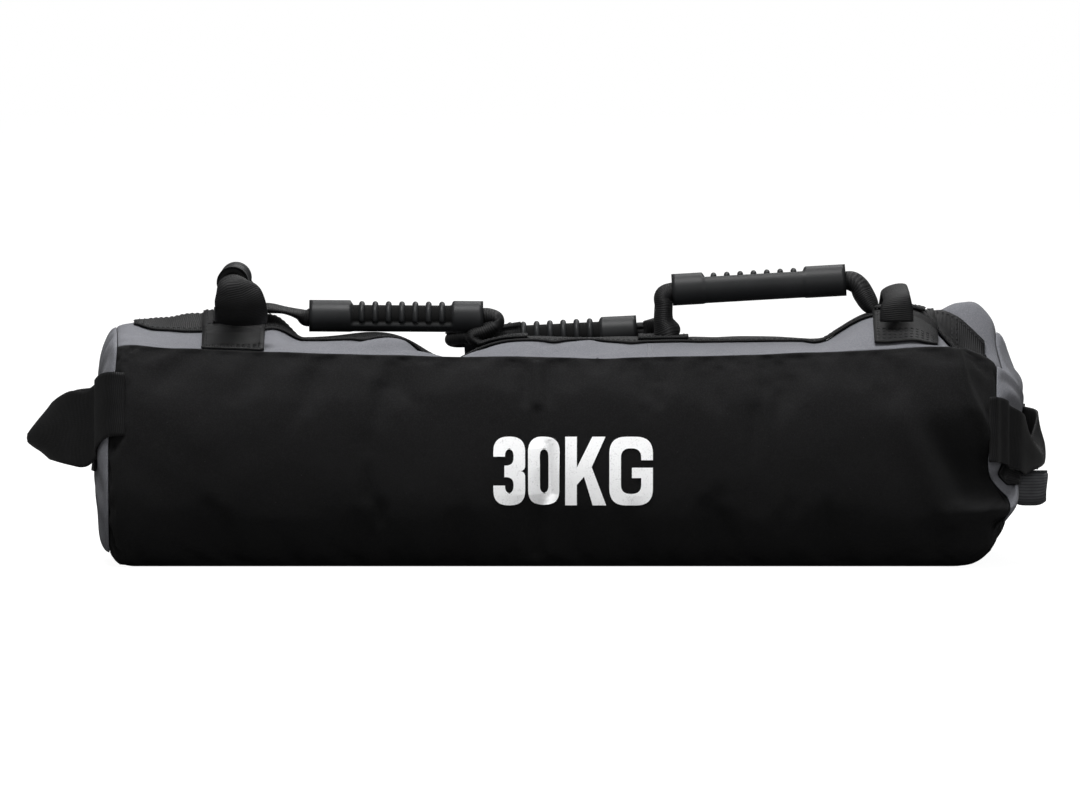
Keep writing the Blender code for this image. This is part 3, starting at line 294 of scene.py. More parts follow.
def addMesh(name, points, faces, material, uvs=None):
    mesh = bpy.data.meshes.new(name)
    mesh.from_pydata([tuple(point) for point in points], [], faces)
    if uvs:
        layer = mesh.uv_layers.new(name="cloth")
        for loop in mesh.loops:
            layer.data[loop.index].uv = uvs[loop.vertex_index]
    mesh.materials.append(material)
    mesh.shade_smooth()
    return link(name, mesh)


def facesOut(piece):
    work = bmesh.new()
    work.from_mesh(piece.data)
    bmesh.ops.recalc_face_normals(work, faces=work.faces)
    work.to_mesh(piece.data)
    work.free()
    return piece


def gridFaces(rows, columns, closed=False):
    faces = []
    for i in range(rows - 1):
        for j in range(columns if closed else columns - 1):
            after = (j + 1) % columns
            faces.append([i * columns + j, (i + 1) * columns + j,
                          (i + 1) * columns + after, i * columns + after])
    return faces


def gridUvs(grid):
    # metres along the rows and across them, measured on the grid itself
    middle = len(grid[0]) // 2
    u = [0.0]
    for before, after in zip(grid, grid[1:]):
        u.append(u[-1] + (after[middle] - before[middle]).length)
    v = [0.0]
    row = grid[len(grid) // 2]
    for before, after in zip(row, row[1:]):
        v.append(v[-1] + (after - before).length)
    return [(along, over) for along in u for over in v]


def flat(grid):
    return [point for line in grid for point in line]


def gridMesh(name, grid, material):
    return addMesh(name, flat(grid), gridFaces(len(grid), len(grid[0])), material, gridUvs(grid))


def modify(piece, kind, **settings):
    made = piece.modifiers.new(kind.lower(), kind)
    for key, value in settings.items():
        setattr(made, key, value)


def evaluated(piece):
    return piece.evaluated_get(bpy.context.evaluated_depsgraph_get())


def plain(piece):
    # the evaluated shape as a plain mesh, with no modifier left
    mesh = bpy.data.meshes.new_from_object(evaluated(piece))
    piece.modifiers.clear()
    piece.data = mesh
    return piece


def thicken(piece, thickness, offset=-1.0):
    modify(piece, "SOLIDIFY", thickness=thickness, offset=offset, use_rim=True)
    return plain(piece)


def clothSheet(name, grid, material, thickness, outward, lift=0.0):
    # a sheet over a grid of points, its outer face lifted off them
    piece = gridMesh(name, grid, material)
    middle = piece.data.polygons[len(piece.data.polygons) // 2]
    if middle.normal.dot(outward) < 0:
        piece.data.flip_normals()
    if lift:
        piece.data.update()
        normals = [vertex.normal.copy() for vertex in piece.data.vertices]
        for vertex, normal in zip(piece.data.vertices, normals):
            vertex.co += normal * lift
    return thicken(piece, thickness)


def dress(piece, body, slot, *nodes, bend=None):
    # with bend given, the piece is baked in place and not attached to its body; the values in bend are not
    # used
    if bend:
        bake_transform(piece)
    else:
        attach(piece, body)
    if nodes:
        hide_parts(*nodes)
    return piece


def surfaceOf(*pieces):
    points = []
    faces = []
    for piece in pieces:
        start = len(points)
        points += [vertex.co.copy() for vertex in piece.data.vertices]
        faces += [[start + index for index in face.vertices] for face in piece.data.polygons]
    return BVHTree.FromPolygons(points, faces)


def ease(start, end, value):
    share = min(max((value - start) / (end - start), 0.0), 1.0)
    return share * share * (3 - 2 * share)


def bell(value, middle, spread):
    return exp(-0.5 * ((value - middle) / spread) ** 2)


def between(first, second, share):
    return first * (1 - share) + second * share


def span(start, end, steps):
    return [start + (end - start) * index / steps for index in range(steps + 1)]


def bezier(start, pullStart, pullEnd, end, steps):
    route = []
    for index in range(steps + 1):
        share = index / steps
        rest = 1 - share
        route.append(start * rest ** 3 + pullStart * 3 * rest * rest * share
                     + pullEnd * 3 * rest * share * share + end * share ** 3)
    return route


# the filled bag: the same lines as the solids, taken closer together

bag = {"halfLength": 0.352, "bellyHalfDepth": 0.104, "seamHalfDepth": 0.086, "bellyHeight": 0.080,
       "footHalfDepth": 0.070, "zipHeight": 0.150, "zipStrip": 0.030, "zipParting": 0.0012,
       "nearSeamHeight": 0.168, "nearSeamRise": 0.011, "seamFall": 0.007, "seamFallOver": (0.312, 0.344),
       "crestHeight": 0.174, "skin": 0.0016, "seamGap": 0.0002, "stationStep": 0.0032, "endSteps": 20,
       "sideSteps": 34, "footSteps": 24, "floorSteps": 20, "zipSteps": 6, "topSteps": 64}
zipEdge = bag["seamHalfDepth"] - bag["zipStrip"]
# the top: its rises, a sag and a hump along x, its tilt toward +y, and the far part near the right end
crest = {"leftRise": 0.0145, "leftRiseOver": (-0.198, -0.225), "rightRise": 0.0205,
         "rightRiseOver": (0.205, 0.262), "sag": 0.018, "sagAt": (-0.083, 0.022),
         "hump": 0.004, "humpAt": (-0.134, 0.020), "farPower": 3.4,
         "tiltLeft": 0.38, "tiltMiddle": 0.08, "tiltRight": 0.34, "tiltLeftOver": (-0.195, -0.240),
         "tiltEndOver": (-0.350, -0.290), "tiltRightOver": (0.285, 0.335),
         "fallsOver": (0.280, 0.334), "ridgeOver": (-0.008, 0.040),
         "dent": 0.75, "dentFrom": (-0.110, -0.080), "dentTo": (0.108, 0.078), "dentAcross": (0.034, 0.046),
         "swell": 0.021, "swellAt": (0.330, 0.020), "swellAcross": (0.0, 0.030)}
# how the ends round off, and how the right one leans and crumples
ends = {"left": {"round": 0.020, "topDrop": 0.004, "footLift": 0.012, "bulge": 0.012},
        "right": {"round": 0.034, "topDrop": 0.017, "footLift": 0.036, "bulge": 0.010},
        "sideTuck": 0.010, "leanOver": (0.250, 0.352), "skew": 0.018,
        "leftIn": 0.008, "leftInOver": (-0.300, -0.352), "leftInAbove": (0.095, 0.185),
        "rimOver": (0.320, 0.352), "rimNear": (0.0, -0.060), "rimOut": 0.011, "rimOutAt": (0.050, 0.009),
        "rimIn": 0.007, "rimInAt": (0.084, 0.016), "topIn": 0.008, "topInAbove": (0.140, 0.176),
        "topInAcross": (-0.060, 0.0), "topInOver": (0.29, 0.345)}


def crestHeight(x):
    left = crest["leftRise"] * ease(*crest["leftRiseOver"], x)
    right = crest["rightRise"] * ease(*crest["rightRiseOver"], x)
    sag = crest["sag"] * bell(x, *crest["sagAt"])
    return bag["crestHeight"] + left + right - sag + crest["hump"] * bell(x, *crest["humpAt"])


def nearSeamHeight(x):
    rise = bag["nearSeamRise"] * (x / bag["halfLength"]) ** 2
    return bag["nearSeamHeight"] + rise - bag["seamFall"] * ease(*bag["seamFallOver"], x)


def topHeight(x, y):
    width = zipEdge + bag["seamHalfDepth"]
    chord = between(nearSeamHeight(x), bag["zipHeight"], (y + bag["seamHalfDepth"]) / width)
    middleChord = between(nearSeamHeight(x), bag["zipHeight"], bag["seamHalfDepth"] / width)
    reach, power = (zipEdge, crest["farPower"]) if y > 0 else (bag["seamHalfDepth"], 2)
    dome = 1 - (abs(y) / reach) ** power
    left = (crest["tiltLeft"] - crest["tiltMiddle"]) * ease(*crest["tiltLeftOver"], x)
    tilt = crest["tiltMiddle"] + left * ease(*crest["tiltEndOver"], x)
    tilt += (crest["tiltRight"] - crest["tiltMiddle"]) * ease(*crest["tiltRightOver"], x)
    dome *= 1 - ease(*crest["fallsOver"], x) * (1 - ease(*crest["ridgeOver"], y))
    dent = ease(*crest["dentFrom"], x) * ease(*crest["dentTo"], x)
    dome *= 1 - crest["dent"] * dent * ease(*crest["dentAcross"], y)
    swell = crest["swell"] * bell(x, *crest["swellAt"]) * ease(*crest["swellAcross"], y)
    return chord + (crestHeight(x) - middleChord + tilt * y + swell) * dome


def settle(x, y, z):
    # where a point of a straight section comes to lie in the bag
    end = ends["left" if x < 0 else "right"]
    share = min(max((abs(x) - bag["halfLength"] + end["round"]) / end["round"], 0.0), 1.0)
    bend = 1 - sqrt(1 - share * share)
    y -= ends["sideTuck"] * bend * y / bag["bellyHalfDepth"]
    belly = bag["bellyHeight"]
    if z > belly:
        z -= end["topDrop"] * bend * (z - belly) / (bag["crestHeight"] - belly)
    else:
        z += end["footLift"] * bend * (belly - z) / belly
    far = 0.5 + 0.5 * y / bag["bellyHalfDepth"]
    x += ease(*ends["leanOver"], x) * (ends["skew"] * far)
    x += ends["leftIn"] * ease(*ends["leftInOver"], x) * ((1 - far) * ease(*ends["leftInAbove"], z))
    rim = ease(*ends["rimOver"], x) * ease(*ends["rimNear"], y)
    x += rim * ends["rimOut"] * bell(z, *ends["rimOutAt"])
    x -= rim * ends["rimIn"] * bell(z, *ends["rimInAt"])
    middle = ease(*ends["topInAbove"], z) * ease(*ends["topInAcross"], y)
    x -= ends["topIn"] * middle * ease(*ends["topInOver"], x)
    return Vector((x, y, z))


def stations():
    # places along the bag, closer together where its ends round off
    left, right = [bag["halfLength"] - ends[side]["round"] for side in ("left", "right")]
    turns = [sin(0.5 * pi * step / bag["endSteps"]) for step in range(1, bag["endSteps"] + 1)]
    places = [-left - ends["left"]["round"] * turn for turn in turns[::-1]]
    places += span(-left, right, round((left + right) / bag["stationStep"]))
    return places + [right + ends["right"]["round"] * turn for turn in turns]


def sideOutline(seamHeight):
    # from a seam down over the belly to the floor
    seam, belly, foot = bag["seamHalfDepth"], bag["bellyHalfDepth"], bag["footHalfDepth"]
    low = bag["bellyHeight"]
    outline = []
    for index in range(bag["sideSteps"] + 1):
        angle = 0.5 * pi * (1 - index / bag["sideSteps"])
        outline.append((seam + (belly - seam) * cos(angle), low + (seamHeight - low) * sin(angle)))
    for index in range(1, bag["footSteps"] + 1):
        angle = 0.5 * pi * index / bag["footSteps"]
        outline.append((foot + (belly - foot) * cos(angle), low * (1 - sin(angle))))
    return outline


def bagRing(x):
    near = [(-out, height) for out, height in sideOutline(nearSeamHeight(x))]
    floor = span(-bag["footHalfDepth"], bag["footHalfDepth"], bag["floorSteps"])[1:-1]
    row = near + [(y, 0.0) for y in floor] + sideOutline(bag["zipHeight"])[::-1]
    seam = len(row) - 1
    row += [(y, bag["zipHeight"]) for y in span(bag["seamHalfDepth"], zipEdge, bag["zipSteps"])[1:]]
    row += [(y, topHeight(x, y)) for y in span(zipEdge, -bag["seamHalfDepth"], bag["topSteps"])[1:-1]]
    return [settle(x, y, z) for y, z in row], seam


rings = [bagRing(x)[0] for x in stations()]
seamColumn = bagRing(0.0)[1]
zipColumn = seamColumn + bag["zipSteps"]
ringCount = len(rings[0])


def ringNormals():
    normals = []
    for i, ring in enumerate(rings):
        before, after = rings[max(i - 1, 0)], rings[min(i + 1, len(rings) - 1)]
        normals.append([(ring[(j + 1) % ringCount] - ring[j - 1]).cross(after[j] - before[j]).normalized()
                        for j in range(ringCount)])
    return normals


def swollen(name, points, faces, sewn, look):
    # where the points of a filled cloth end after a few frames under pressure
    piece = addMesh(name, points, faces, blackFabric)
    middle = sum(points, Vector()) / len(points)
    outward = sum(face.normal.dot(face.center - middle) * face.area for face in piece.data.polygons)
    if outward < 0:
        piece.data.flip_normals()
    made = piece.modifiers.new("cloth", "CLOTH")
    made.collision_settings.use_collision = False
    cloth = made.settings
    cloth.quality = look["quality"]
    cloth.mass = look["mass"]
    cloth.tension_stiffness = cloth.compression_stiffness = look["stiffness"]
    cloth.bending_stiffness = look["bending"]
    cloth.shrink_min = -look["slack"]
    cloth.use_pressure = True
    cloth.uniform_pressure_force = look["pressure"]
    cloth.effector_weights.gravity = 0
    if sewn:
        piece.vertex_groups.new(name="sewn").add(sewn, 1.0, "REPLACE")
        cloth.vertex_group_mass = "sewn"
    for step in range(1, look["frames"] + 1):
        bpy.context.scene.frame_set(step)
    places = []
    for point, vertex in zip(points, evaluated(piece).data.vertices):
        way = vertex.co - point
        places.append(point + way * (min(way.length, look["most"]) / max(way.length, 0.000001)))
    bpy.context.scene.frame_set(1)
    bpy.data.objects.remove(piece)
    return places


swelling = {"rowStep": 3, "columnStep": 2, "frames": 20, "quality": 5, "mass": 0.3, "stiffness": 15.0,
            "bending": 0.4, "slack": 0.025, "pressure": 3.0, "most": 0.0045, "topShare": 0.35,
            "seamColumns": 5}


def swellPanels():
    # the panels as one cloth on a coarser grid, sewn along the seams, ends and resting face
    rows = list(range(0, len(rings) - 1, swelling["rowStep"])) + [len(rings) - 1]
    columns = sorted(set(range(0, ringCount, swelling["columnStep"])) | {seamColumn, zipColumn})
    count = len(columns)
    points = [rings[i][j].copy() for i in rows for j in columns]
    sewn = []
    for index, point in enumerate(points):
        row, column = divmod(index, count)
        j = columns[column]
        if row in (0, len(rows) - 1) or j == 0 or seamColumn <= j <= zipColumn or point.z < 0.001:
            sewn.append(index)
    swelled = swollen("panels", points, gridFaces(len(rows), count, True), sewn, swelling)
    moves = [end - point for end, point in zip(swelled, points)]
    for i, ring in enumerate(rings):
        row = min(i // swelling["rowStep"], len(rows) - 2)
        down = (i - rows[row]) / (rows[row + 1] - rows[row])
        for j in range(ringCount):
            column = max(index for index, value in enumerate(columns) if value <= j)
            after = (column + 1) % count
            across = (j - columns[column]) / ((columns[after] or ringCount) - columns[column])
            upper, lower = [between(moves[line * count + column], moves[line * count + after], across)
                            for line in (row, row + 1)]
            share = swelling["topShare"] if j > zipColumn else 1.0
            share *= ease(0.5, swelling["seamColumns"], min(j, ringCount - j))
            ring[j] += between(upper, lower, down) * share


swellPanels()
print("panels swollen")

# folds in the panels, each from one place to another on a face: start, end, width, depth
folds = {
    # x and z; the first four belong to the collapsed right end
    "near": (((0.280, 0.120), (0.314, 0.048), 0.009, 0.005), ((0.318, 0.044), (0.350, 0.052), 0.006, 0.004),
             ((0.316, 0.028), (0.350, 0.034), 0.007, -0.007),
             ((0.322, 0.016), (0.346, 0.018), 0.008, 0.004),
             ((-0.330, 0.160), (-0.262, 0.140), 0.008, -0.0012),
             ((-0.336, 0.140), (-0.280, 0.104), 0.010, 0.0014),
             ((-0.340, 0.090), (-0.300, 0.060), 0.010, -0.0012)),
    # x and y
    "top": (((-0.196, -0.066), (-0.150, -0.030), 0.006, -0.0040),
            ((-0.168, -0.078), (-0.118, -0.034), 0.007, 0.0042),
            ((-0.140, -0.076), (-0.098, -0.030), 0.006, -0.0040),
            ((-0.112, -0.080), (-0.066, -0.036), 0.007, 0.0038),
            ((-0.040, -0.078), (0.000, -0.032), 0.006, -0.0034),
            ((-0.014, -0.080), (0.030, -0.036), 0.006, 0.0030),
            ((0.020, -0.078), (0.062, -0.034), 0.006, -0.0030),
            ((0.316, -0.060), (0.334, 0.030), 0.008, -0.004),
            ((0.330, -0.040), (0.340, 0.050), 0.006, 0.003),
            ((-0.330, -0.050), (-0.300, 0.030), 0.007, -0.002)),
}
# where they show, by the way that the cloth faces and by y, and how far they reach
foldPlace = {"caveAcross": (-0.030, -0.072), "nearFacing": (0.05, 0.4), "topFacing": (0.3, 0.8),
             "topAcross": (-0.086, -0.066), "endShare": 0.8, "most": 3}
lumps = {"size": 0.085, "depth": 0.0020, "small": 0.030, "smallDepth": 0.0007, "endRows": 6,
         "floorOver": (0.0, 0.006)}
# the lip of the near bulge at the right end, x and z down its crest, and the fall behind it
lip = {"line": ((0.323, 0.176), (0.331, 0.147), (0.3445, 0.118), (0.3515, 0.098)), "from": 0.29,
       "step": 0.012, "stepOver": (-0.001, 0.004), "slope": 1.0, "most": 0.040,
       "crest": 0.004, "crestAt": (-0.003, 0.006), "fade": 0.014}
# the hollow under it: its left shore leans right as it goes down to a shelf
hollow = {"from": 0.27, "top": 0.132, "deep": 0.068, "shelf": 0.047, "shelfRise": 0.010,
          "shoreTop": 0.288, "shoreFoot": 0.318, "shoreHeight": 0.112, "shoreFall": 0.064,
          "shoreWidth": 0.020, "depth": 0.024, "endShare": 0.85, "endOver": (0.336, 0.352),
          "endAbove": (0.068, 0.080)}


def lipFall(point):
    line = lip["line"]
    if point.x < lip["from"] or point.z < line[-1][1]:
        return 0.0
    z = min(point.z, line[0][1])
    for above, below in zip(line, line[1:]):
        if below[1] <= z <= above[1]:
            edge = above[0] + (below[0] - above[0]) * ((above[1] - z) / (above[1] - below[1]))
    past = point.x - edge
    fall = lip["step"] * ease(*lip["stepOver"], past) + lip["slope"] * max(past, 0.0)
    fall = min(fall, lip["most"]) - lip["crest"] * bell(past, *lip["crestAt"])
    return fall * ease(line[-1][1], line[-1][1] + lip["fade"], point.z)


def hollowFall(point):
    x, z = point.x, point.z
    if x < hollow["from"] or z < hollow["shelf"] or z > hollow["top"]:
        return 0.0
    down = min(max((hollow["shoreHeight"] - z) / hollow["shoreFall"], 0.0), 1.0)
    shore = hollow["shoreTop"] + (hollow["shoreFoot"] - hollow["shoreTop"]) * down
    depth = ease(hollow["top"], hollow["deep"], z)
    depth *= ease(hollow["shelf"], hollow["shelf"] + hollow["shelfRise"], z)
    end = 1 - hollow["endShare"] * ease(*hollow["endOver"], x) * ease(*hollow["endAbove"], z)
    return hollow["depth"] * depth * ease(shore, shore + hollow["shoreWidth"], x) * end


def foldShift(point, normal):
    # near folds go straight across the bag, and top ones straight up or down
    cave = (lipFall(point) + hollowFall(point)) * ease(*foldPlace["caveAcross"], point.y)
    shift = acrossBag * cave
    nearShare = ease(*foldPlace["nearFacing"], -normal.y)
    topShare = ease(*foldPlace["topFacing"], normal.z) * ease(*foldPlace["topAcross"], point.y)
    for face, (a, b), way, share in (("near", (point.x, point.z), -acrossBag, nearShare),
                                     ("top", (point.x, point.y), up, topShare)):
        for start, end, width, depth in folds[face] if share else ():
            run = (end[0] - start[0], end[1] - start[1])
            off = (a - start[0], b - start[1])
            length = hypot(*run)
            along = (off[0] * run[0] + off[1] * run[1]) / (length * length)
            beyond = max(-along, along - 1, 0.0) * length
            aside = abs(off[0] * run[1] - off[1] * run[0]) / length
            off = hypot(beyond * foldPlace["endShare"], aside)
            if off < width * foldPlace["most"]:
                shift += way * depth * share * bell(off, 0, width)
    return shift


def lumpDepth(point):
    big = noise.noise(point / lumps["size"]) * lumps["depth"]
    return big + noise.noise(point / lumps["small"] + Vector((5, 1, 9))) * lumps["smallDepth"]


def shapePanels():
    # the resting face, the far seam and the zip stay as they are
    normals = ringNormals()
    for i, ring in enumerate(rings):
        edge = min(i, len(rings) - 1 - i) / lumps["endRows"]
        for j, point in enumerate(ring):
            shift = foldShift(point, normals[i][j]) + normals[i][j] * lumpDepth(point) * min(edge, 1.0)
            if not seamColumn <= j <= zipColumn:
                point += shift * ease(*lumps["floorOver"], point.z)
                point.z = max(point.z, 0.0)


shapePanels()

endCloth = {"rings": 30, "gap": 0.0003, "gathers": 17, "gatherDepth": 0.0016, "gatherOver": (0.35, 0.95),
            "waveSize": 0.045, "wave": 0.004, "swell": 0.006, "swellAt": (0.136, 0.015)}


def ringStrip(first, last, firstGap, lastGap):
    # the cloth between two columns of the rings, with its long edges drawn in
    grid = [[ring[index % ringCount].copy() for index in range(first, last + 1)] for ring in rings]
    for line in grid:
        line[0] += (line[1] - line[0]).normalized() * firstGap
        line[-1] += (line[-2] - line[-1]).normalized() * lastGap
    return grid


def endWave(place):
    return noise.noise(place / endCloth["waveSize"] + Vector((2, 7, 1))) * endCloth["wave"]


def endDisc(name, ring, side, bulge):
    out = alongBag * side
    centre = sum(ring, Vector()) / len(ring)
    steps = endCloth["rings"]
    points = []
    for step in range(steps):
        share = cos(0.5 * pi * step / steps)
        rise = bulge * sin(0.5 * pi * step / steps)
        for point in ring:
            place = centre + (point - centre) * share + out * (endCloth["gap"] + rise)
            if step > 1:
                around = atan2(place.z - centre.z, place.y - centre.y)
                gather = endCloth["gatherDepth"] * ease(*endCloth["gatherOver"], share)
                gather *= sin(around * endCloth["gathers"] + 3 * noise.noise(place * 20))
                wave = endWave(place) * (1 - share ** 6)
                if side > 0:
                    wave += endCloth["swell"] * bell(place.z, *endCloth["swellAt"]) * (1 - share ** 6)
                place += out * (gather * (1 - share ** 20) + wave)
            points.append(place)
    tip = centre + out * (endCloth["gap"] + bulge)
    points.append(tip + out * endWave(tip))
    last = (steps - 1) * ringCount
    faces = gridFaces(steps, ringCount, True)
    faces += [[last + j, last + (j + 1) % ringCount, len(points) - 1] for j in range(ringCount)]
    piece = addMesh(name, points, faces, greyFabric, [(point.y, point.z) for point in points])
    if piece.data.polygons[5 * ringCount].normal.x * side < 0:
        piece.data.flip_normals()
    return thicken(piece, bag["skin"], 1.0)


gap = bag["seamGap"]
sidePanel = clothSheet("sidePanel", ringStrip(0, seamColumn, gap, gap), blackFabric, bag["skin"], -up)
topPanel = clothSheet("topPanel", ringStrip(zipColumn, ringCount, gap, gap), greyFabric, bag["skin"], up)
endDiscLeft = endDisc("endDiscLeft", rings[0], -1.0, ends["left"]["bulge"])
endDiscRight = endDisc("endDiscRight", rings[-1], 1.0, ends["right"]["bulge"])
dress(sidePanel, "shell", "black_fabric", "side_panel")
dress(topPanel, "shell", "grey_fabric", "top_panel")
dress(endDiscLeft, "shell", "grey_fabric", "end_disc_left")
dress(endDiscRight, "shell", "grey_fabric", "end_disc_right")
print("bag panels made")


# what repeats is made by node groups

class Layout:
    def __init__(self, name, inputs):
        self.group = bpy.data.node_groups.new(name, "GeometryNodeTree")
        kinds = {"Shape": "NodeSocketGeometry", "Finish": "NodeSocketMaterial",
                 "Count": "NodeSocketInt", "Size": "NodeSocketVector"}
        for label in ("Shape", *inputs, "Finish"):
            kind = kinds.get(label.split()[-1], "NodeSocketFloat")
            self.group.interface.new_socket(label, in_out="INPUT", socket_type=kind)
        self.group.interface.new_socket("Result", in_out="OUTPUT", socket_type="NodeSocketGeometry")
        self.start = self.group.nodes.new("NodeGroupInput")
        self.end = self.group.nodes.new("NodeGroupOutput")

    def given(self, label):
        return self.start.outputs[label]

    def add(self, kind, inputs, output=0, **settings):
        made = self.group.nodes.new(kind)
        for key, value in settings.items():
            setattr(made, key, value)
        for key, value in inputs.items():
            if isinstance(value, bpy.types.NodeSocket):
                self.group.links.new(value, made.inputs[key])
            else:
                made.inputs[key].default_value = value
        return made.outputs[output]

    def close(self, instances):
        solid = self.add("GeometryNodeRealizeInstances", {"Geometry": instances})
        done = self.add("GeometryNodeSetMaterial", {"Geometry": solid, "Material": self.given("Finish")})
        self.group.links.new(done, self.end.inputs["Result"])
        return self.group


def beadLayout():
    # beads laid end to end along every line of a shape, such as stitches or teeth
    layout = Layout("beadsAlongLines", ("Pitch", "Bead Size", "Turn"))
    line = layout.add("GeometryNodeMeshToCurve", {"Mesh": layout.given("Shape")})
    line = layout.add("GeometryNodeResampleCurve", {"Curve": line, "Length": layout.given("Pitch")},
                      mode="LENGTH")
    bead = layout.add("GeometryNodeMeshUVSphere", {"Segments": 6, "Rings": 4, "Radius": 0.5})
    along = layout.add("GeometryNodeInputTangent", {})
    turned = layout.add("FunctionNodeAlignRotationToVector", {"Vector": along}, axis="X")
    tilt = layout.add("FunctionNodeAxisAngleToRotation", {"Axis": (0, 0, 1), "Angle": layout.given("Turn")})
    turned = layout.add("FunctionNodeRotateRotation", {"Rotation": turned, "Rotate By": tilt},
                        rotation_space="LOCAL")
    beads = layout.add("GeometryNodeInstanceOnPoints", {"Points": line, "Instance": bead,
                       "Rotation": turned, "Scale": layout.given("Bead Size")})
    return layout.close(beads)


def rowLayout():
    # copies of a shape in a row, such as the ribs of a grip
    layout = Layout("copiesInRow", ("Copy Count", "Step Size"))
    places = layout.add("GeometryNodeMeshLine", {"Count": layout.given("Copy Count"),
                        "Offset": layout.given("Step Size")})
    copies = layout.add("GeometryNodeInstanceOnPoints", {"Points": places,
                        "Instance": layout.given("Shape")})
    return layout.close(copies)


beads = beadLayout()
row = rowLayout()


def grow(piece, group, values):
    modifier = piece.modifiers.new("grow", "NODES")
    modifier.node_group = group
    for item in group.interface.items_tree:
        if item.in_out == "INPUT" and item.name in values:
            modifier[item.identifier] = values[item.name]
    plain(piece)
    piece.data.shade_smooth()
    return piece


def beaded(name, lines, material, pitch, size, turn=0.0):
    # beads along lines, such as stitches or the teeth of a zip
    points = []
    edges = []
    for line in lines:
        start = len(points)
        points += [tuple(point) for point in line]
        edges += [(start + index, start + index + 1) for index in range(len(line) - 1)]
    mesh = bpy.data.meshes.new(name)
    mesh.from_pydata(points, edges, [])
    mesh.materials.append(material)
    return grow(link(name, mesh), beads, {"Pitch": pitch, "Bead Size": size, "Turn": turn,
                                          "Finish": material})


# webbing on the top

tape = {"width": 0.050, "thickness": 0.0018, "bandStart": -0.334, "bandEnd": 0.3455,
        "crossLeft": -0.254, "crossRight": 0.281, "crossNear": -0.0817, "crossFar": 0.050,
        "lay": 0.0006, "window": 0.0030, "bandWindow": 0.0012, "seamIn": 0.0035,
        "sway": -0.012, "swayOver": (0.300, 0.350), "nearRows": (0.004, 0.009, 0.014, 0.019),
        "farRows": (0.004, 0.009), "endBars": (-0.330, -0.326, 0.320, 0.324)}
panelSeam = {"rows": (0.080, 0.0765), "near": -0.084, "far": -0.029, "pitch": 0.0030}
stitch = {"pitch": 0.0042, "size": (0.0030, 0.00095, 0.00095), "sink": 0.00010, "step": 0.003}


def heightOn(surface, x, y):
    hit = surface.ray_cast(Vector((x, y, 0.4)), -up)[0]
    return hit.z if hit else None


def bandSway(x):
    # the right end of the band has slid to the near side
    return tape["sway"] * ease(*tape["swayOver"], x)


def laidGrid(surface, xs, ys, alongY=False, window=tape["window"]):
    # heights over what lies below, bridged across steps and then eased
    grid = []
    for x in xs:
        line = []
        for y in ys:
            best = heightOn(surface, x, y)
            for shift in (-window, -0.5 * window, 0.5 * window, window):
                beside = heightOn(surface, x + (0 if alongY else shift), y + (shift if alongY else 0))
                best = beside if best is None else max(best, beside or best)
            line.append(best)
        grid.append(line)
    eased = []
    for i, x in enumerate(xs):
        line = []
        for j, y in enumerate(ys):
            if alongY:
                around = [grid[i][max(j - 1, 0)], grid[i][j], grid[i][min(j + 1, len(ys) - 1)]]
            else:
                around = [grid[max(i - 1, 0)][j], grid[i][j], grid[min(i + 1, len(xs) - 1)][j]]
            own = heightOn(surface, x, y) or grid[i][j]
            line.append(Vector((x, y, max(own, sum(around) / 3))))
        eased.append(line)
    return eased


def laidTape(name, node, grid, outward=up):
    sheet = clothSheet(name, grid, blackWebbing, tape["thickness"], outward,
                       tape["lay"] + tape["thickness"])
    return dress(sheet, "shell", "black_webbing", node)


def stitches(name, surface, runs, material=blackThread, slot="black_webbing", pitch=stitch["pitch"]):
    # stitches along runs between two corners, laid on the surface
    lines = []
    for (x1, y1), (x2, y2) in runs:
        line = []
        for share in span(0.0, 1.0, max(int(hypot(x2 - x1, y2 - y1) / stitch["step"]), 2)):
            x = x1 + (x2 - x1) * share
            y = y1 + (y2 - y1) * share + bandSway(x)
            height = heightOn(surface, x, y)
            if height is not None:
                line.append(Vector((x, y, height + stitch["sink"])))
        if len(line) > 1:
            lines.append(line)
    dress(beaded(name, lines, material, pitch, stitch["size"]), "shell", slot)


half = tape["width"] / 2
inset = tape["seamIn"]
panels = surfaceOf(topPanel, sidePanel)
grid = []
for x in span(tape["bandStart"], tape["bandEnd"], 220):
    ys = [y + bandSway(x) for y in span(-half, half, 12)]
    grid += laidGrid(panels, [x], ys, window=tape["bandWindow"])
centreBand = laidTape("centreBand", "centre_band", grid)
overBand = surfaceOf(topPanel, sidePanel, centreBand)
crossStraps = []
for side in ("Left", "Right"):
    place = tape["cross" + side]
    grid = laidGrid(overBand, span(place - half, place + half, 14),
                    span(tape["crossNear"], tape["crossFar"], 60), True)
    crossStraps.append(laidTape("crossStrap" + side, "cross_strap_" + side.lower(),
                                [list(line) for line in zip(*grid)]))

patch = {"length": 0.040, "width": 0.044, "places": (-0.2505, -0.0395, 0.089, 0.2775)}
overStraps = surfaceOf(centreBand, *crossStraps)
patches = []
for index, place in enumerate(patch["places"], 1):
    grid = laidGrid(overStraps, span(place - patch["length"] / 2, place + patch["length"] / 2, 12),
                    span(-patch["width"] / 2, patch["width"] / 2, 12))
    patches.append(laidTape("handlePatch" + str(index), "handle_patch_" + str(index), grid))
overPatches = surfaceOf(centreBand, *crossStraps, *patches)

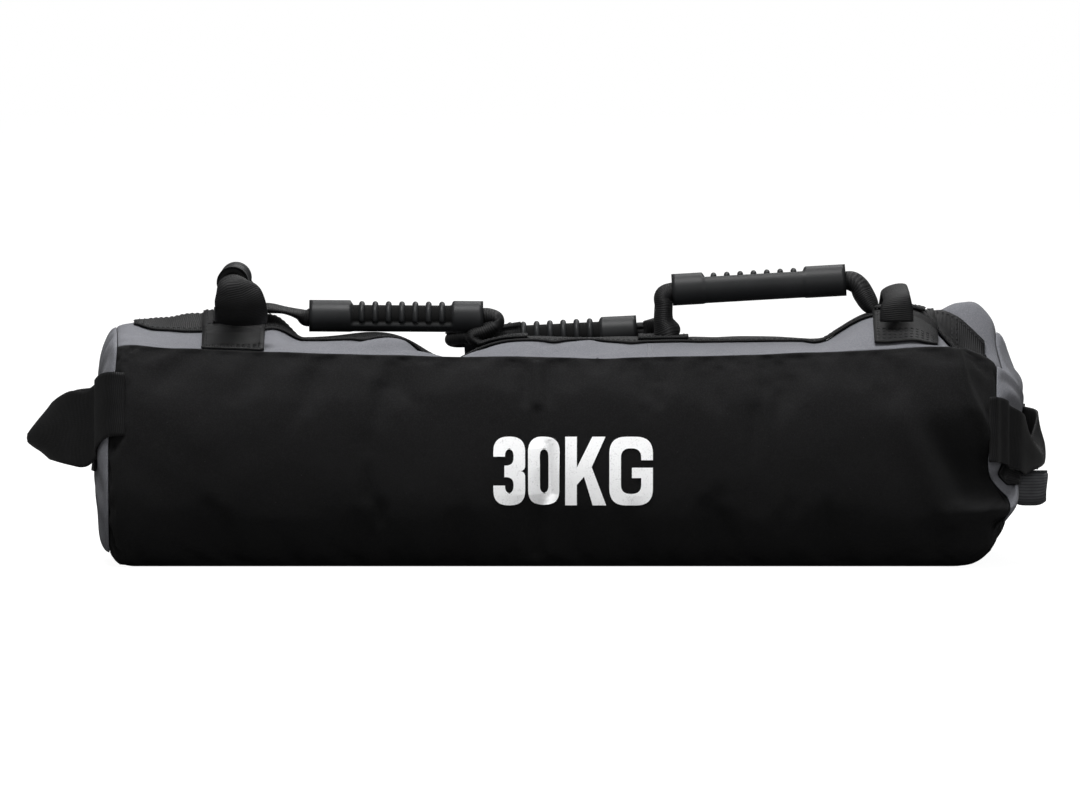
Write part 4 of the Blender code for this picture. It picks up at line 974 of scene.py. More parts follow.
stitches("bandStitches", overPatches,
         [((tape["bandStart"], y), (tape["bandEnd"], y)) for y in (-half + inset, half - inset)])
crossSeams = []
for place in (tape["crossLeft"], tape["crossRight"]):
    left, right = place - half + inset, place + half - inset
    crossSeams += [((x, tape["crossNear"] + inset), (x, tape["crossFar"] - inset)) for x in (left, right)]
    ys = [tape["crossNear"] + y for y in tape["nearRows"]]
    ys += [tape["crossFar"] - y for y in tape["farRows"]]
    crossSeams += [((left, y), (right, y)) for y in ys]
stitches("crossStrapStitches", surfaceOf(*crossStraps, *patches), crossSeams)
boxes = []
for place in patch["places"]:
    x1, x2 = place - patch["length"] / 2 + inset, place + patch["length"] / 2 - inset
    y1, y2 = -patch["width"] / 2 + inset, patch["width"] / 2 - inset
    boxes += [((x1, y1), (x2, y1)), ((x2, y1), (x2, y2)), ((x2, y2), (x1, y2)), ((x1, y2), (x1, y1)),
              ((x1, y1), (x2, y2)), ((x1, y2), (x2, y1))]
stitches("patchStitches", surfaceOf(*patches), boxes)
stitches("bandEndStitches", overPatches,
         [((x, -half + inset), (x, half - inset)) for x in tape["endBars"]])
runs = [((x, panelSeam["near"]), (x, panelSeam["far"])) for x in panelSeam["rows"]]
stitches("panelSeamStitches", surfaceOf(topPanel), runs, greyThread, "grey_fabric", panelSeam["pitch"])
print("top webbing made")


# handles of folded webbing

roll = {"wraps": 1.10, "steps": 26, "tuck": 0.0024, "tuckOver": (0.74, 1.0), "leastWide": 0.001,
        "leastThick": 0.0008}


def rolledGrid(route, sizes, across, seam):
    # webbing rolled round on itself, one edge lying over the other
    grid = []
    for index, (place, (width, thickness)) in enumerate(zip(route, sizes)):
        along = (route[min(index + 1, len(route) - 1)] - route[max(index - 1, 0)]).normalized()
        wide = (across - along * across.dot(along)).normalized()
        thin = along.cross(wide)
        line = []
        for share in span(0.0, 1.0, roll["steps"]):
            angle = seam + 2 * pi * roll["wraps"] * share
            tuck = roll["tuck"] * ease(*roll["tuckOver"], share)
            line.append(place + wide * max(width / 2 - tuck, roll["leastWide"]) * cos(angle)
                        + thin * max(thickness / 2 - tuck, roll["leastThick"]) * sin(angle))
        grid.append(line)
    return grid


def rolledSheet(name, grid, route):
    piece = gridMesh(name, grid, blackWebbing)
    piece.data.update()
    middle = len(grid) // 2
    face = piece.data.polygons[middle * (len(grid[0]) - 1) + 3]
    if face.normal.dot(face.center - route[middle]) < 0:
        piece.data.flip_normals()
    return thicken(piece, tape["thickness"])


def joined(name, pieces):
    # several meshes of one piece
    work = bmesh.new()
    for piece in pieces:
        work.from_mesh(piece.data)
    mesh = bpy.data.meshes.new(name)
    work.to_mesh(mesh)
    work.free()
    mesh.materials.append(pieces[0].data.materials[0])
    mesh.shade_smooth()
    for piece in pieces:
        bpy.data.objects.remove(piece)
    return link(name, mesh)


grip = {"length": 0.139, "collarRadius": 0.0127, "waistRadius": 0.0090, "landRadius": 0.0123,
        "waistHalf": 0.0412, "waistBlend": 0.0022, "round": 0.0022, "bore": 0.0074, "sides": 64,
        "landBlend": radians(9), "ribCount": 7, "ribPitch": 0.01067, "ribHeight": 0.0034,
        "ribWidth": 0.0050, "ribRoot": 0.0009, "ribSink": 0.0003, "ribSteps": 44, "ribColumns": 9,
        "ribEnd": 0.05, "ribEndHeight": 0.25, "coreGap": 0.0002, "coreInset": 0.003, "coreSides": 24}


def gripFrame(start, end, landDirection):
    along = (end - start).normalized()
    down = (landDirection - along * landDirection.dot(along)).normalized()
    turn = Matrix((along, down.cross(along), down)).transposed().to_4x4()
    return Matrix.Translation((start + end) / 2) @ turn


def gripSleeve(name, matrix, shift, opening):
    # lathed about X; the smooth land lies along local +Z
    half, collar, rounding, sides = grip["length"] / 2, grip["collarRadius"], grip["round"], grip["sides"]

    def waist(x, angle):
        off = abs((angle + pi) % (2 * pi) - pi)
        land = 1 - ease(opening, opening + grip["landBlend"], off)
        low = grip["waistRadius"] + (grip["landRadius"] - grip["waistRadius"]) * land
        return collar + (low - collar) * ease(0.0, grip["waistBlend"], grip["waistHalf"] - abs(x - shift))

    corner = []
    for turn in [0.5 * pi * share for share in span(0.0, 1.0, 5)]:
        corner.append((half - rounding * (1 - sin(turn)), collar - rounding * (1 - cos(0.5 * pi - turn))))
    profile = [(-x, radius) for x, radius in corner]
    profile += [(x, None) for x in span(-half + rounding, half - rounding, 110)[1:-1]] + corner[::-1]
    profile += [(x, grip["bore"]) for x in (half, half - 0.004, -half + 0.004, -half)]
    points = []
    gaps = []
    for x, radius in profile:
        for step in range(sides):
            angle = 2 * pi * step / sides
            reach = radius or waist(x, angle)
            points.append(matrix @ Vector((x, reach * sin(angle), reach * cos(angle))))
            # gap marks where painted shade falls: the waist between the ribs and the bore, none on the
            # collars and the land
            gaps.append(ease(collar - 0.0012, grip["waistRadius"] + 0.0004, reach))
    last = (len(profile) - 1) * sides
    faces = gridFaces(len(profile), sides, True)
    for step in range(sides):
        after = (step + 1) % sides
        faces.append([last + step, step, after, last + after])
    sleeve = addMesh(name, points, faces, gripRubber)
    low = sleeve.data.attributes.new("gap", "FLOAT", "POINT")
    for item, value in zip(low.data, gaps):
        item.value = value
    return facesOut(sleeve)


def gripCore(name, start, end):
    # the webbing that runs through a grip, rolled up
    along = (end - start).normalized()
    side = along.cross(Vector((0.2, 0.3, 1))).normalized()
    other = along.cross(side)
    radius, sides = grip["bore"] - grip["coreGap"], grip["coreSides"]
    grid = [[spot + (side * cos(turn) + other * sin(turn)) * radius for turn in span(0.0, 2 * pi, sides)]
            for spot in (start + along * grip["coreInset"], end - along * grip["coreInset"])]
    faces = gridFaces(2, sides + 1) + [list(range(sides)), list(range(sides + 1, 2 * sides + 1))]
    return facesOut(addMesh(name, flat(grid), faces, blackWebbing, gridUvs(grid)))


def gripRibs(name, matrix, shift, opening):
    # one rib, open at the land, set out in a row
    steps, across, half = grip["ribSteps"], grip["ribColumns"], 0.5 * grip["ribWidth"]
    opening += 0.3 * grip["landBlend"]
    start = shift - 0.5 * (grip["ribCount"] - 1) * grip["ribPitch"]
    points = []
    roots = []
    for step in range(steps + 1):
        share = step / steps
        angle = opening + (2 * pi - 2 * opening) * share
        fade = ease(0.0, grip["ribEnd"], min(share, 1 - share))
        height = grip["ribHeight"] * (grip["ribEndHeight"] + (1 - grip["ribEndHeight"]) * fade)
        for column in range(across):
            bend = pi * column / (across - 1)
            radius = grip["waistRadius"] + height * sin(bend) ** 0.8 - grip["ribSink"]
            points.append((start - half * cos(bend), radius * sin(angle), radius * cos(angle)))
        radius = grip["waistRadius"] - grip["ribRoot"]
        roots += [(start + x, radius * sin(angle), radius * cos(angle)) for x in (-half, half)]
    inner = len(points)
    faces = gridFaces(steps + 1, across)
    for step in range(steps):
        low, high = inner + 2 * step, inner + 2 * step + 2
        faces.append([low, low + 1, high + 1, high])
        faces.append([step * across, (step + 1) * across, high, low])
        faces.append([step * across + across - 1, low + 1, high + 1, (step + 1) * across + across - 1])
    faces.append(list(range(across)) + [inner + 1, inner])
    faces.append([inner + 2 * steps, inner + 2 * steps + 1]
                 + [steps * across + column for column in reversed(range(across))])
    rib = facesOut(addMesh(name, points + roots, faces, gripRubber))
    grow(rib, row, {"Copy Count": grip["ribCount"], "Step Size": (grip["ribPitch"], 0, 0),
                    "Finish": gripRubber})
    rib.data.transform(matrix)
    return rib


# each leg runs from its foot into its grip: x, y, z, width, thickness
handles = {
    "left": {"body": "left_handle", "grip": ((-0.1941, 0, 0.1948), (-0.0551, 0, 0.1938)),
             "land": (0, -0.30, -1), "across": (0, 1, 0), "opening": 40, "shift": 0.0046, "seam": -62,
             "legs": (((-0.2370, 0, 0.2010, 0.040, 0.0080), (-0.2250, 0, 0.2008, 0.038, 0.0080),
                       (-0.2136, 0, 0.1992, 0.035, 0.0060), (-0.2030, 0, 0.1962, 0.031, 0.0085),
                       (-0.1962, 0, 0.1932, 0.023, 0.0145), (-0.1870, 0, 0.1945, 0.0134, 0.0134)),
                      ((-0.0400, 0, 0.1712, 0.036, 0.0030), (-0.0500, 0, 0.1722, 0.036, 0.0060),
                       (-0.0610, 0, 0.1752, 0.034, 0.0100), (-0.0632, 0, 0.1800, 0.031, 0.0125),
                       (-0.0540, 0, 0.1832, 0.029, 0.0140), (-0.0450, 0, 0.1878, 0.026, 0.0130),
                       (-0.0442, 0, 0.1926, 0.023, 0.0120), (-0.0520, 0, 0.1946, 0.018, 0.0140),
                       (-0.0620, 0, 0.1938, 0.0134, 0.0134)))},
    "middle": {"body": "middle_handle", "grip": ((-0.0690, 0.0575, 0.1716), (0.0665, 0.0580, 0.1782)),
               "land": (0, 0.5, -1), "across": (0, 0, 1), "opening": 44, "shift": 0.0, "seam": -62,
               "rise": (0, 1, 0),
               "legs": (((-0.02446, 0.0120, 0.1823, 0.014, 0.003), (-0.0480, 0.0190, 0.1795, 0.012, 0.007),
                         (-0.0700, 0.0330, 0.1770, 0.014, 0.009), (-0.0805, 0.0460, 0.1745, 0.014, 0.011),
                         (-0.0770, 0.0555, 0.1722, 0.014, 0.013),
                         (-0.0630, 0.0576, 0.1719, 0.0134, 0.0134)),
                        ((0.07399, 0.0120, 0.1830, 0.014, 0.003), (0.0830, 0.0250, 0.1850, 0.013, 0.010),
                         (0.0870, 0.0390, 0.1835, 0.014, 0.010), (0.0840, 0.0515, 0.1790, 0.014, 0.011),
                         (0.0740, 0.0575, 0.1785, 0.014, 0.013),
                         (0.0600, 0.0580, 0.1779, 0.0134, 0.0134)))},
    "right": {"body": "right_handle", "grip": ((0.0959, 0, 0.2155), (0.2349, 0, 0.2235)),
              "land": (0, -1, -0.30), "across": (0, 1, 0), "opening": 66, "shift": -0.0038, "seam": -62,
              "legs": (((0.0930, 0, 0.1790, 0.038, 0.0200), (0.0920, 0, 0.1835, 0.036, 0.0225),
                        (0.0895, 0, 0.1915, 0.032, 0.0165), (0.0895, 0, 0.2025, 0.028, 0.0152),
                        (0.0905, 0, 0.2115, 0.024, 0.0160), (0.1030, 0, 0.2159, 0.0134, 0.0134)),
                       ((0.2592, 0, 0.1972, 0.038, 0.0060), (0.2548, 0, 0.2030, 0.036, 0.0150),
                        (0.2495, 0, 0.2120, 0.032, 0.0175), (0.2455, 0, 0.2190, 0.027, 0.0165),
                        (0.2390, 0, 0.2230, 0.020, 0.0165), (0.2280, 0, 0.2231, 0.0134, 0.0134)))},
    "leftCross": {"body": "left_cross_handle",
                  "grip": ((-0.254, -0.0693, 0.2262), (-0.254, 0.0693, 0.2206)), "land": (0, 0, -1),
                  "across": (1, 0, 0), "opening": 40, "shift": 0.0, "seam": 118,
                  "legs": (((-0.2475, -0.0640, 0.1950, 0.042, 0.0085),
                            (-0.2470, -0.0730, 0.2010, 0.042, 0.0085),
                            (-0.2478, -0.0795, 0.2095, 0.041, 0.0090),
                            (-0.2505, -0.0810, 0.2180, 0.037, 0.0105),
                            (-0.2530, -0.0775, 0.2250, 0.026, 0.0145),
                            (-0.2540, -0.0620, 0.2262, 0.0134, 0.0134)),
                           ((-0.2510, 0.0440, 0.1790, 0.040, 0.0085),
                            (-0.2520, 0.0600, 0.1860, 0.039, 0.0090),
                            (-0.2520, 0.0740, 0.1960, 0.036, 0.0100),
                            (-0.2530, 0.0800, 0.2095, 0.030, 0.0120),
                            (-0.2540, 0.0765, 0.2185, 0.022, 0.0150),
                            (-0.2540, 0.0620, 0.2208, 0.0134, 0.0134)))},
}


def smoothPath(knots, steps=9):
    # a smooth curve through the knots, with the two sizes that each of them carries
    rows = [Vector(knot) for knot in knots]
    rows = [rows[0] * 2 - rows[1]] + rows + [rows[-1] * 2 - rows[-2]]
    path = []
    for a, b, c, d in zip(rows, rows[1:], rows[2:], rows[3:]):
        for t in [step / steps for step in range(steps)]:
            path.append(0.5 * ((2 * b) + (c - a) * t + (2 * a - 5 * b + 4 * c - d) * t * t
                               + (3 * b - a - 3 * c + d) * t ** 3))
    path.append(rows[-2])
    return [Vector(spot[:3]) for spot in path], [tuple(spot[3:]) for spot in path]


def hingeBend(foot, other, rise, before=0.003, after=0.012):
    # two points either side of the first foot, square to the line between the feet
    along = (other - foot).normalized()
    rise = (rise - along * rise.dot(along)).normalized()
    return foot - rise * before, foot + rise * after


for label, look in handles.items():
    start, end, land = Vector(look["grip"][0]), Vector(look["grip"][1]), Vector(look["land"])
    legs = []
    for name, knots in zip("AB", look["legs"]):
        route, sizes = smoothPath(knots)
        grid = rolledGrid(route, sizes, Vector(look["across"]), radians(look["seam"]))
        legs.append(rolledSheet(label + "Leg" + name, grid, route))
    strap = joined(label + "Handle", [*legs, gripCore(label + "Core", start, end)])
    feet = [Vector(knots[0][:3]) for knots in look["legs"]]
    dress(strap, look["body"], "black_webbing", look["body"] + "_strap",
          bend=hingeBend(*feet, Vector(look.get("rise", up))))
    matrix, opening = gripFrame(start, end, land), radians(look["opening"])
    dress(gripSleeve(label + "Grip", matrix, look["shift"], opening), look["body"], "grip_rubber",
          look["body"].replace("_handle", "_grip"))
    dress(gripRibs(label + "GripRibs", matrix, look["shift"], opening), look["body"], "grip_rubber")

# the folded handle on the right cross strap: width and thickness at its feet and above them
folded = {"near": (0.281, -0.066, 0.19487), "far": (0.281, 0.042, 0.17891), "height": 0.2142,
          "rise": 0.016, "inset": 0.016, "foot": (0.027, 0.0060), "leg": (0.022, 0.0080),
          "shift": -0.0070, "slant": 0.28}
near, far = Vector(folded["near"]), Vector(folded["far"])
nearTop, farTop = near.copy(), far.copy()
nearTop.z = farTop.z = folded["height"]
route = bezier(near, near + up * folded["rise"], nearTop, nearTop + acrossBag * folded["inset"], 24)
route += bezier(farTop - acrossBag * folded["inset"], farTop, far + up * folded["rise"], far, 24)
sizes = []
for index in range(len(route)):
    share = ease(0.0, 1.0, min(index, len(route) - 1 - index) / 20)
    sizes.append([foot + (leg - foot) * share for foot, leg in zip(folded["foot"], folded["leg"])])
route = [place + alongBag * folded["shift"] for place in route]
grid = rolledGrid(route, sizes, Vector((1, 0, folded["slant"])), radians(100))
dress(rolledSheet("rightCrossHandle", grid, route), "right_cross_handle", "black_webbing",
      "right_cross_handle_strap", bend=hingeBend(near, far, up, 0.002, 0.010))
print("handles made")


# the end handles, their patches and the small loop

def outOf(surface, side, y, z):
    # where a line along the bag meets its end, or the end's rim beside it
    hit = None
    while hit is None:
        hit = surface.ray_cast(Vector((side * 0.7, y, z)), -alongBag * side)[0]
        y *= 0.98
    return hit


# down the middle of each strap: x, y, z, height, and how far it is folded together
endHandles = {
    "Left": {"side": -1.0, "height": 0.099, "body": "left_end_handle", "fold": 0.019,
             "start": -0.366, "end": -0.388,
             "wrap": ((-0.3390, -0.1040, 0.1320, 0.050), (-0.3470, -0.1015, 0.1320, 0.051),
                      (-0.3530, -0.0965, 0.1310, 0.052)),
             "tails": ((-0.0890, 0.1275, 0.054), (-0.0810, 0.1215, 0.056), (-0.0730, 0.1160, 0.059)),
             "loop": ((-0.3720, -0.0620, 0.1090, 0.061, 0.0), (-0.3850, -0.0480, 0.1085, 0.059, 0.05),
                      (-0.4020, -0.0290, 0.1050, 0.048, 0.28), (-0.4135, -0.0130, 0.1010, 0.037, 0.60),
                      (-0.4195, 0.0, 0.0970, 0.017, 1.0), (-0.4150, 0.0120, 0.0975, 0.033, 0.75),
                      (-0.4020, 0.0290, 0.1010, 0.049, 0.35), (-0.3850, 0.0480, 0.1020, 0.058, 0.08),
                      (-0.3720, 0.0620, 0.1020, 0.060, 0.0))},
    "Right": {"side": 1.0, "height": 0.088, "body": "right_end_handle", "fold": 0.016,
              "start": 0.372, "end": 0.392,
              "wrap": ((0.3475, -0.0960, 0.1110, 0.052), (0.3530, -0.0920, 0.1108, 0.052)),
              "tails": ((-0.0830, 0.1095, 0.052), (-0.0750, 0.1070, 0.051), (-0.0660, 0.1035, 0.050)),
              "loop": ((0.3725, -0.0560, 0.0990, 0.047, 0.0), (0.3790, -0.0430, 0.0940, 0.045, 0.15),
                       (0.3860, -0.0280, 0.0865, 0.034, 0.55), (0.3915, -0.0110, 0.0805, 0.020, 0.9),
                       (0.3935, 0.0050, 0.0780, 0.013, 1.0), (0.3950, 0.0220, 0.0800, 0.019, 0.9),
                       (0.3950, 0.0380, 0.0860, 0.034, 0.5), (0.3915, 0.0500, 0.0900, 0.045, 0.1),
                       (0.3870, 0.0600, 0.0920, 0.047, 0.0))},
}
endPatch = {"out": 0.056, "halfLength": 0.008, "halfHeight": 0.024}
# how far the tails stand off the cloth, and how a folded strap gathers and bends
endStrap = {"lift": 0.0032, "columns": 20, "gather": 0.55, "bend": 1.6}


def tailKnots(surface, look, near):
    # from the side panel round to the end; the far tail is level with the loop's far foot
    side, way = look["side"], 1 if near else -1
    level = look["loop"][-1][2]
    knots = [(x, way * y, z if near else level, height, 0.0) for x, y, z, height in look["wrap"]]
    for y, z, height in look["tails"]:
        z = z if near else level
        x = outOf(surface, side, way * y, z).x + side * endStrap["lift"]
        knots.append((x, way * y, z, height, 0.0))
    return knots


for label, look in endHandles.items():
    side, height = look["side"], look["height"]
    surface = surfaceOf(endDiscLeft if side < 0 else endDiscRight, sidePanel)
    for hand, middle in (("Near", -endPatch["out"]), ("Far", endPatch["out"])):
        ys = span(middle - endPatch["halfLength"], middle + endPatch["halfLength"], 6)
        zs = span(height - endPatch["halfHeight"], height + endPatch["halfHeight"], 16)
        laidTape("endPatch" + label + hand, "end_patch_" + label.lower() + "_" + hand.lower(),
                 [[outOf(surface, side, y, z) for z in zs] for y in ys], alongBag * side)
    knots = tailKnots(surface, look, True) + list(look["loop"]) + tailKnots(surface, look, False)[::-1]
    grid = []
    for place, (high, fold) in zip(*smoothPath(knots, 7)):
        fold = min(max(fold, 0.0), 1.0)
        line = []
        for column in span(-1.0, 1.0, endStrap["columns"]):
            rise = 0.5 * high * abs(column) ** (1 - endStrap["gather"] * fold)
            back = side * look["fold"] * fold * abs(column) ** endStrap["bend"]
            line.append(place + up * (rise if column > 0 else -rise) - alongBag * back)
        grid.append(line)
    strap = thicken(gridMesh("endHandle" + label, grid, blackWebbing), tape["thickness"], 0.0)
    dress(facesOut(strap), look["body"], "black_webbing", "end_handle_" + label.lower(),
          bend=((look["start"], 0, height), (look["end"], 0, height)))

loopTab = {"middle": 0.3829, "halfWidth": 0.0139, "top": 0.0700, "foot": 0.0435, "depth": 0.0095,
           "thickness": 0.0022, "hem": 0.0012, "straight": 0.004, "taper": 0.001, "curl": 0.0035}
depth, top, centre = loopTab["depth"], loopTab["top"], loopTab["foot"] + loopTab["depth"]
route = [(loopTab["hem"] - depth, top - loopTab["hem"]), (-depth, top - loopTab["straight"])]
route += [(-depth * cos(angle), centre - depth * sin(angle)) for angle in span(0.0, pi, 18)]
route += [(depth, top - loopTab["straight"]), (depth, top)]
grid = []
for y, z in route:
    low = ease(top, loopTab["foot"], z)
    line = []
    for share in span(-1.0, 1.0, 10):
        x = loopTab["middle"] + share * loopTab["halfWidth"] - loopTab["taper"] * low * (1 + share)
        line.append(Vector((x, y, z + loopTab["curl"] * low * share ** 4)))
    grid.append(line)
loop = thicken(gridMesh("loopTab", grid, greyWebbing), loopTab["thickness"], 0.0)
dress(facesOut(loop), "shell", "grey_webbing", "loop_tab_right")
print("end handles made")


# zip along the far top edge

zipTape = {"thickness": 0.0010, "columns": 3, "sewnGap": 0.0004}
coil = {"start": -0.297, "end": 0.297, "pitch": 0.00135, "size": (0.0009, 0.0026, 0.0022),
        "aside": 0.0010, "lift": 0.0009, "turn": 0.35}
middle = seamColumn + zipTape["columns"]
for name, grid in (("Outer", ringStrip(seamColumn, middle, zipTape["sewnGap"], bag["zipParting"])),
                   ("Inner", ringStrip(middle, zipColumn, bag["zipParting"], zipTape["sewnGap"]))):
    dress(clothSheet("zipTape" + name, grid, blackFabric, zipTape["thickness"], up),
          "shell", "black_fabric", "zip_tape_" + name.lower())
for name, way in (("Outer", 1), ("Inner", -1)):
    y = bag["seamHalfDepth"] - bag["zipStrip"] / 2 + way * coil["aside"]
    line = [Vector((x, y, bag["zipHeight"] + coil["lift"])) for x in span(coil["start"], coil["end"], 100)]
    dress(beaded("zipCoil" + name, [line], zipMetal, coil["pitch"], coil["size"], way * coil["turn"]),
          "shell", "zip_metal", "zip_coil_" + name.lower())
for node in ("zip_slider", "zip_pull", "zip_stop_left", "zip_stop_right"):
    for slot in bpy.data.objects[node].material_slots:
        slot.material = zipMetal
print("zip made")


# filler bags

shellCloth = surfaceOf(sidePanel, topPanel)
filling = {"voxel": 0.006, "frames": 20, "quality": 5, "mass": 0.3, "stiffness": 12.0, "bending": 0.3,
           "slack": 0.02, "pressure": 4.0, "most": 0.008, "inset": 0.006, "gap": 0.004, "fromHeight": 0.06,
           "bagPower": 5, "bagWaist": 0.55, "flapPower": 9, "flapWaist": 0.0}


def pillowMesh(name, low, high, power, waist):
    # a block with rounded sides, thinner toward its ends
    middle, size = (low + high) / 2, (high - low) / 2
    work = bmesh.new()
    bmesh.ops.create_cube(work, size=2.0)
    bmesh.ops.subdivide_edges(work, edges=work.edges, cuts=15, use_grid_fill=True)
    for vertex in work.verts:
        place = vertex.co
        thin = 1 - waist * abs(place.x) ** 6
        length = (abs(place.x) ** power + abs(place.y) ** power + abs(place.z) ** power) ** (1 / power)
        place = place / max(length, 0.001)
        vertex.co = middle + Vector((place.x * size.x, place.y * size.y, place.z * size.z * thin))
    mesh = bpy.data.meshes.new(name)
    work.to_mesh(mesh)
    work.free()
    mesh.materials.append(fillerFabric)
    mesh.shade_smooth()
    return link(name, mesh)


def fill(piece):
    # sand swells the bag, and one subdivision rounds it
    modify(piece, "REMESH", mode="VOXEL", voxel_size=filling["voxel"])
    mesh = plain(piece).data
    places = swollen(piece.name + "Cloth", [vertex.co.copy() for vertex in mesh.vertices],
                     [list(face.vertices) for face in mesh.polygons], [], filling)
    for vertex, place in zip(mesh.vertices, places):
        vertex.co = place
    modify(piece, "SUBSURF", levels=1)
    plain(piece).data.shade_smooth()


def keepInside(piece):
    for vertex in piece.data.vertices:
        spot = vertex.co
        for way, reach in ((acrossBag, spot.y), (-acrossBag, -spot.y)):
            hit = shellCloth.ray_cast(Vector((spot.x, 0, spot.z)), way)[0]
            if hit is not None and reach > abs(hit.y) - filling["gap"]:
                spot.y = way.y * (abs(hit.y) - filling["gap"])
        hit = shellCloth.ray_cast(Vector((spot.x, spot.y, filling["fromHeight"])), up)[0]
        if hit is not None and spot.z > hit.z - filling["gap"]:
            spot.z = hit.z - filling["gap"]
        spot.z = max(spot.z, bag["skin"] + 0.0005)


for number in "1234":
    low, high = [Vector(corner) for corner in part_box("filler_bag_" + number)]
    inset = Vector((1, 1, 1)) * filling["inset"]
    pillow = pillowMesh("fillerBag" + number, low + inset, high - inset,
                        filling["bagPower"], filling["bagWaist"])
    fill(pillow)
    keepInside(pillow)
    dress(pillow, "shell", "filler_fabric", "filler_bag_" + number)
    low, high = [Vector(corner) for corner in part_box("filler_flap_" + number)]
    flap = pillowMesh("fillerFlap" + number, low, high, filling["flapPower"], filling["flapWaist"])
    keepInside(flap)
    dress(flap, "shell", "filler_fabric", "filler_flap_" + number)
print("filler bags made")


# plain weight mark on the near side: drawn from its own outlines

mark = {"left": -0.0466, "foot": 0.0518, "height": 0.0547, "stem": 0.0092, "lift": 0.0007,
        "advances": {"3": 0.0275, "0": 0.0295, "K": 0.0350, "G": 0.0}, "cell": 0.0016,
        "width": 0.0252, "corner": 0.0118, "wideK": 0.0325, "wideG": 0.0345, "cornerG": 0.0132,
        "notch": 0.0036}


def rounded(corners, steps=8):
    # a closed outline with each corner (x, y, radius) rounded off
    outline = []
    for index, (x, y, radius) in enumerate(corners):
        here = Vector((x, y))
        if radius <= 0:
            outline.append(here)
            continue
        a = here + (Vector(corners[index - 1][:2]) - here).normalized() * radius
        b = here + (Vector(corners[(index + 1) % len(corners)][:2]) - here).normalized() * radius
        for share in span(0.0, 1.0, steps):
            outline.append(a * (1 - share) ** 2 + here * 2 * share * (1 - share) + b * share ** 2)
    return outline


def glyph(letter):
    # outlines of one letter; r rounds its outer corners and q its inner ones
    h, s, w, r = mark["height"], mark["stem"], mark["width"], mark["corner"]
    if letter == "G":
        w, r = mark["wideG"], mark["cornerG"]
    q = r - s * 0.62
    if letter == "0":
        return [[(0, 0, r), (w, 0, r), (w, h, r), (0, h, r)],
                [(s, s, q), (s, h - s, q), (w - s, h - s, q), (w - s, s, q)]]
    if letter == "3":
        m, n = h * 0.5, mark["notch"]
        return [[(0, h, r), (w, h, r), (w, m + n * 0.2, n), (w - n, m, 0), (w, m - n * 0.2, n),
                 (w, 0, r), (0, 0, r), (0, h * 0.29, 0), (s, h * 0.29, 0), (s, s, q),
                 (w - s, s, q), (w - s, m - s * 0.52, q), (s * 0.95, m - s * 0.52, 0),
                 (s * 0.95, m + s * 0.48, 0), (w - s, m + s * 0.48, q), (w - s, h - s, q),
                 (s, h - s, q), (s, h * 0.71, 0), (0, h * 0.71, 0)]]
    if letter == "K":
        w = mark["wideK"]
        return [[(0, 0, 0), (s, 0, 0), (s, h * 0.30, 0), (s * 1.62, h * 0.42, 0), (w - s * 1.16, 0, 0),
                 (w, 0, 0), (s * 2.28, h * 0.56, 0), (w - s * 0.06, h, 0), (w - s * 1.20, h, 0),
                 (s, h * 0.55, 0), (s, h, 0), (0, h, 0)]]
    return [[(0, h, r), (w, h, r), (w, h * 0.66, 0), (w - s, h * 0.66, 0), (w - s, h - s, q),
             (s, h - s, q), (s, s, q), (w - s, s, q), (w - s, h * 0.40, 0),
             (w * 0.52, h * 0.40, 0), (w * 0.52, h * 0.40 + s * 0.9, 0), (w, h * 0.40 + s * 0.9, 0),
             (w, 0, r), (0, 0, r)]]


def inkMaterial():
    graph = Graph("printInk")
    spot = graph.place()
    fleck = graph.noise(spot, 900.0, 3.0, 0.7)
    worn = graph.noise(spot, 120.0, 3.0, 0.6)
    gaps = (fleck * 0.7 + worn * 0.3).smooth(0.52, 0.66)
    shade = graph.mix(gaps, (0.97, 0.975, 0.98), (0.72, 0.725, 0.73))
    return graph.set({"Base Color": shade, "Roughness": fleck * 0.2 + 0.55,
                      "Normal": graph.bump(fleck, 0.00012)})


def printMark():
    curve = bpy.data.curves.new("mark", "CURVE")
    curve.dimensions = "2D"
    curve.fill_mode = "BOTH"
    x = mark["left"]
    for letter in ("3", "0", "K", "G"):
        for outline in glyph(letter):
            points = rounded(outline)
            line = curve.splines.new("POLY")
            line.points.add(len(points) - 1)
            line.use_cyclic_u = True
            for place, point in zip(line.points, points):
                place.co = (point.x + x, point.y + mark["foot"], 0, 1)
        x += mark["advances"][letter]
    outlines = link("mark", curve)
    shape = evaluated(outlines)
    work = bmesh.new()
    work.from_mesh(shape.to_mesh())
    bmesh.ops.remove_doubles(work, verts=work.verts, dist=0.00002)
    # cut into small cells, so that it follows the cloth
    for way, low, high in ((alongBag, mark["left"] - 0.001, x + 0.040),
                           (acrossBag, mark["foot"], mark["foot"] + mark["height"])):
        cut = low + mark["cell"]
        while cut < high:
            bmesh.ops.bisect_plane(work, geom=work.verts[:] + work.edges[:] + work.faces[:],
                                   plane_co=way * cut, plane_no=way)
            cut += mark["cell"]
    cloth = surfaceOf(sidePanel)
    for vertex in work.verts:
        hit, normal = cloth.ray_cast(Vector((vertex.co.x, -0.3, vertex.co.y)), acrossBag)[:2]
        if normal.y > 0:
            normal = -normal
        vertex.co = hit + normal * mark["lift"]
    work.normal_update()
    bmesh.ops.recalc_face_normals(work, faces=work.faces)
    if sum(face.normal.y for face in work.faces) > 0:
        bmesh.ops.reverse_faces(work, faces=work.faces)
    mesh = bpy.data.meshes.new("weightMark")
    work.to_mesh(mesh)
    work.free()
    bpy.data.objects.remove(outlines)
    mesh.materials.append(inkMaterial())
    mesh.shade_flat()
    piece = link("weightMark", mesh)
    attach(piece, "shell")


printMark()
print("weight mark made")


# view, light and background

def aimed(name, data, place, aim):
    piece = link(name, data)
    piece.location = place
    piece.rotation_euler = (Vector(aim) - Vector(place)).to_track_quat("-Z", "Y").to_euler()
    return piece


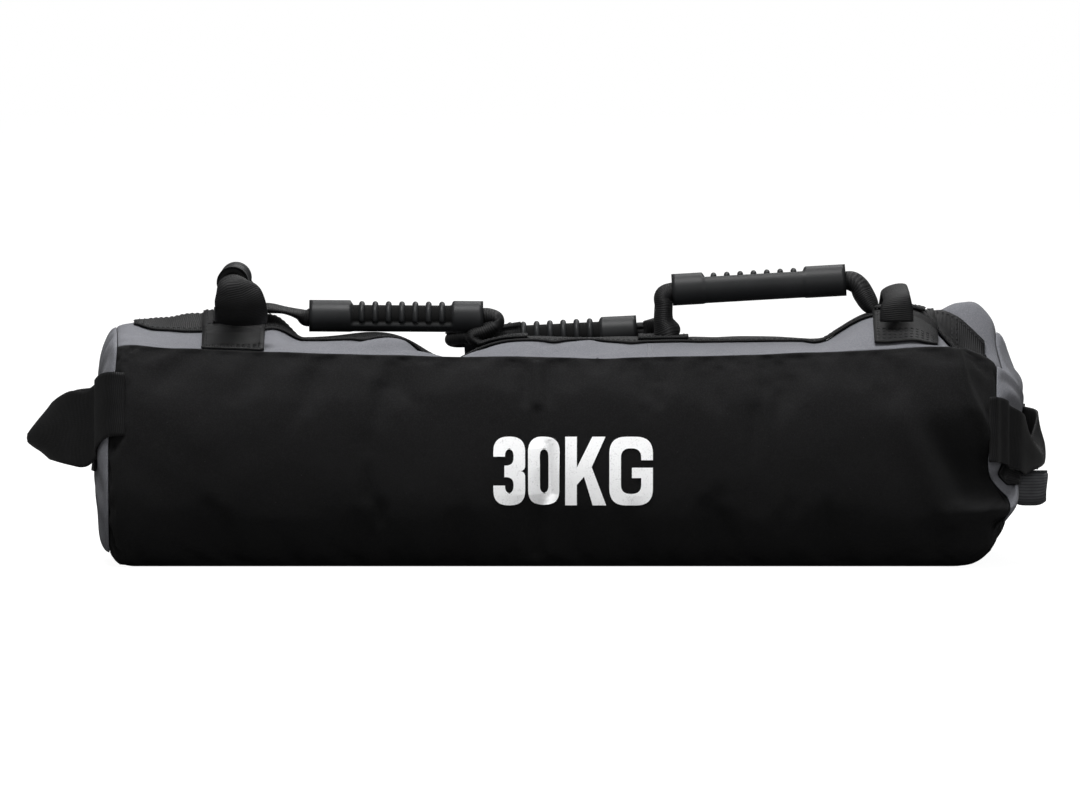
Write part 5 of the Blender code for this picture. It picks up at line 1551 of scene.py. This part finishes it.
view = {"distance": 12.0, "elevation": radians(4.5), "aim": (-0.0096, 0, 0.1232), "width": 0.864,
        "sensor": 36, "lampAim": (0, 0, 0.1), "skyLight": 0.16, "floorGlow": 0.96, "floorHalf": 6}
away = Vector((0, -cos(view["elevation"]), sin(view["elevation"])))
camera = bpy.data.cameras.new("view")
camera.sensor_width = view["sensor"]
camera.lens = view["sensor"] * view["distance"] / view["width"]
eye = aimed("view", camera, Vector(view["aim"]) + view["distance"] * away, view["aim"])
bpy.context.scene.camera = eye
bpy.context.scene.view_settings.view_transform = "Standard"

lights = {"key": {"from": (-0.40, -0.85, 2.85), "size": 1.5, "power": 140},
          "fill": {"from": (0.9, -2.6, 1.1), "size": 2.0, "power": 26},
          "back": {"from": (0.5, 1.6, 2.4), "size": 2.0, "power": 45}}
for name, look in lights.items():
    lamp = bpy.data.lights.new(name, "AREA")
    lamp.shape = "DISK"
    lamp.size = look["size"]
    lamp.energy = look["power"]
    aimed(name, lamp, look["from"], view["lampAim"])

# the camera sees white all round, and the bag is lit by a dimmer sky
world = bpy.data.worlds.new("studio")
bpy.context.scene.world = world
world.use_nodes = True
sky = world.node_tree
background = sky.nodes["Background"]
rays = sky.nodes.new("ShaderNodeLightPath")
level = sky.nodes.new("ShaderNodeMapRange")
level.inputs["To Min"].default_value = view["skyLight"]
level.inputs["To Max"].default_value = 1.0
sky.links.new(rays.outputs["Is Camera Ray"], level.inputs["Value"])
sky.links.new(level.outputs["Result"], background.inputs["Strength"])
background.inputs["Color"].default_value = (1, 1, 1, 1)

floorLook = Graph("floorWhite")
floorRays = floorLook.node("ShaderNodeLightPath")
floorLook.set({"Base Color": (0.18, 0.18, 0.18, 1), "Roughness": 0.9, "Specular IOR Level": 0.0,
               "Emission Color": (1, 1, 1, 1), "Emission Strength": floorRays * view["floorGlow"]})
size = view["floorHalf"]
corners = [(x * size, y * size, -0.0004) for x, y in ((-1, -1), (1, -1), (1, 1), (-1, 1))]
floor = addMesh("floor", corners, [[0, 1, 2, 3]], floorLook.material)
print("stage set")
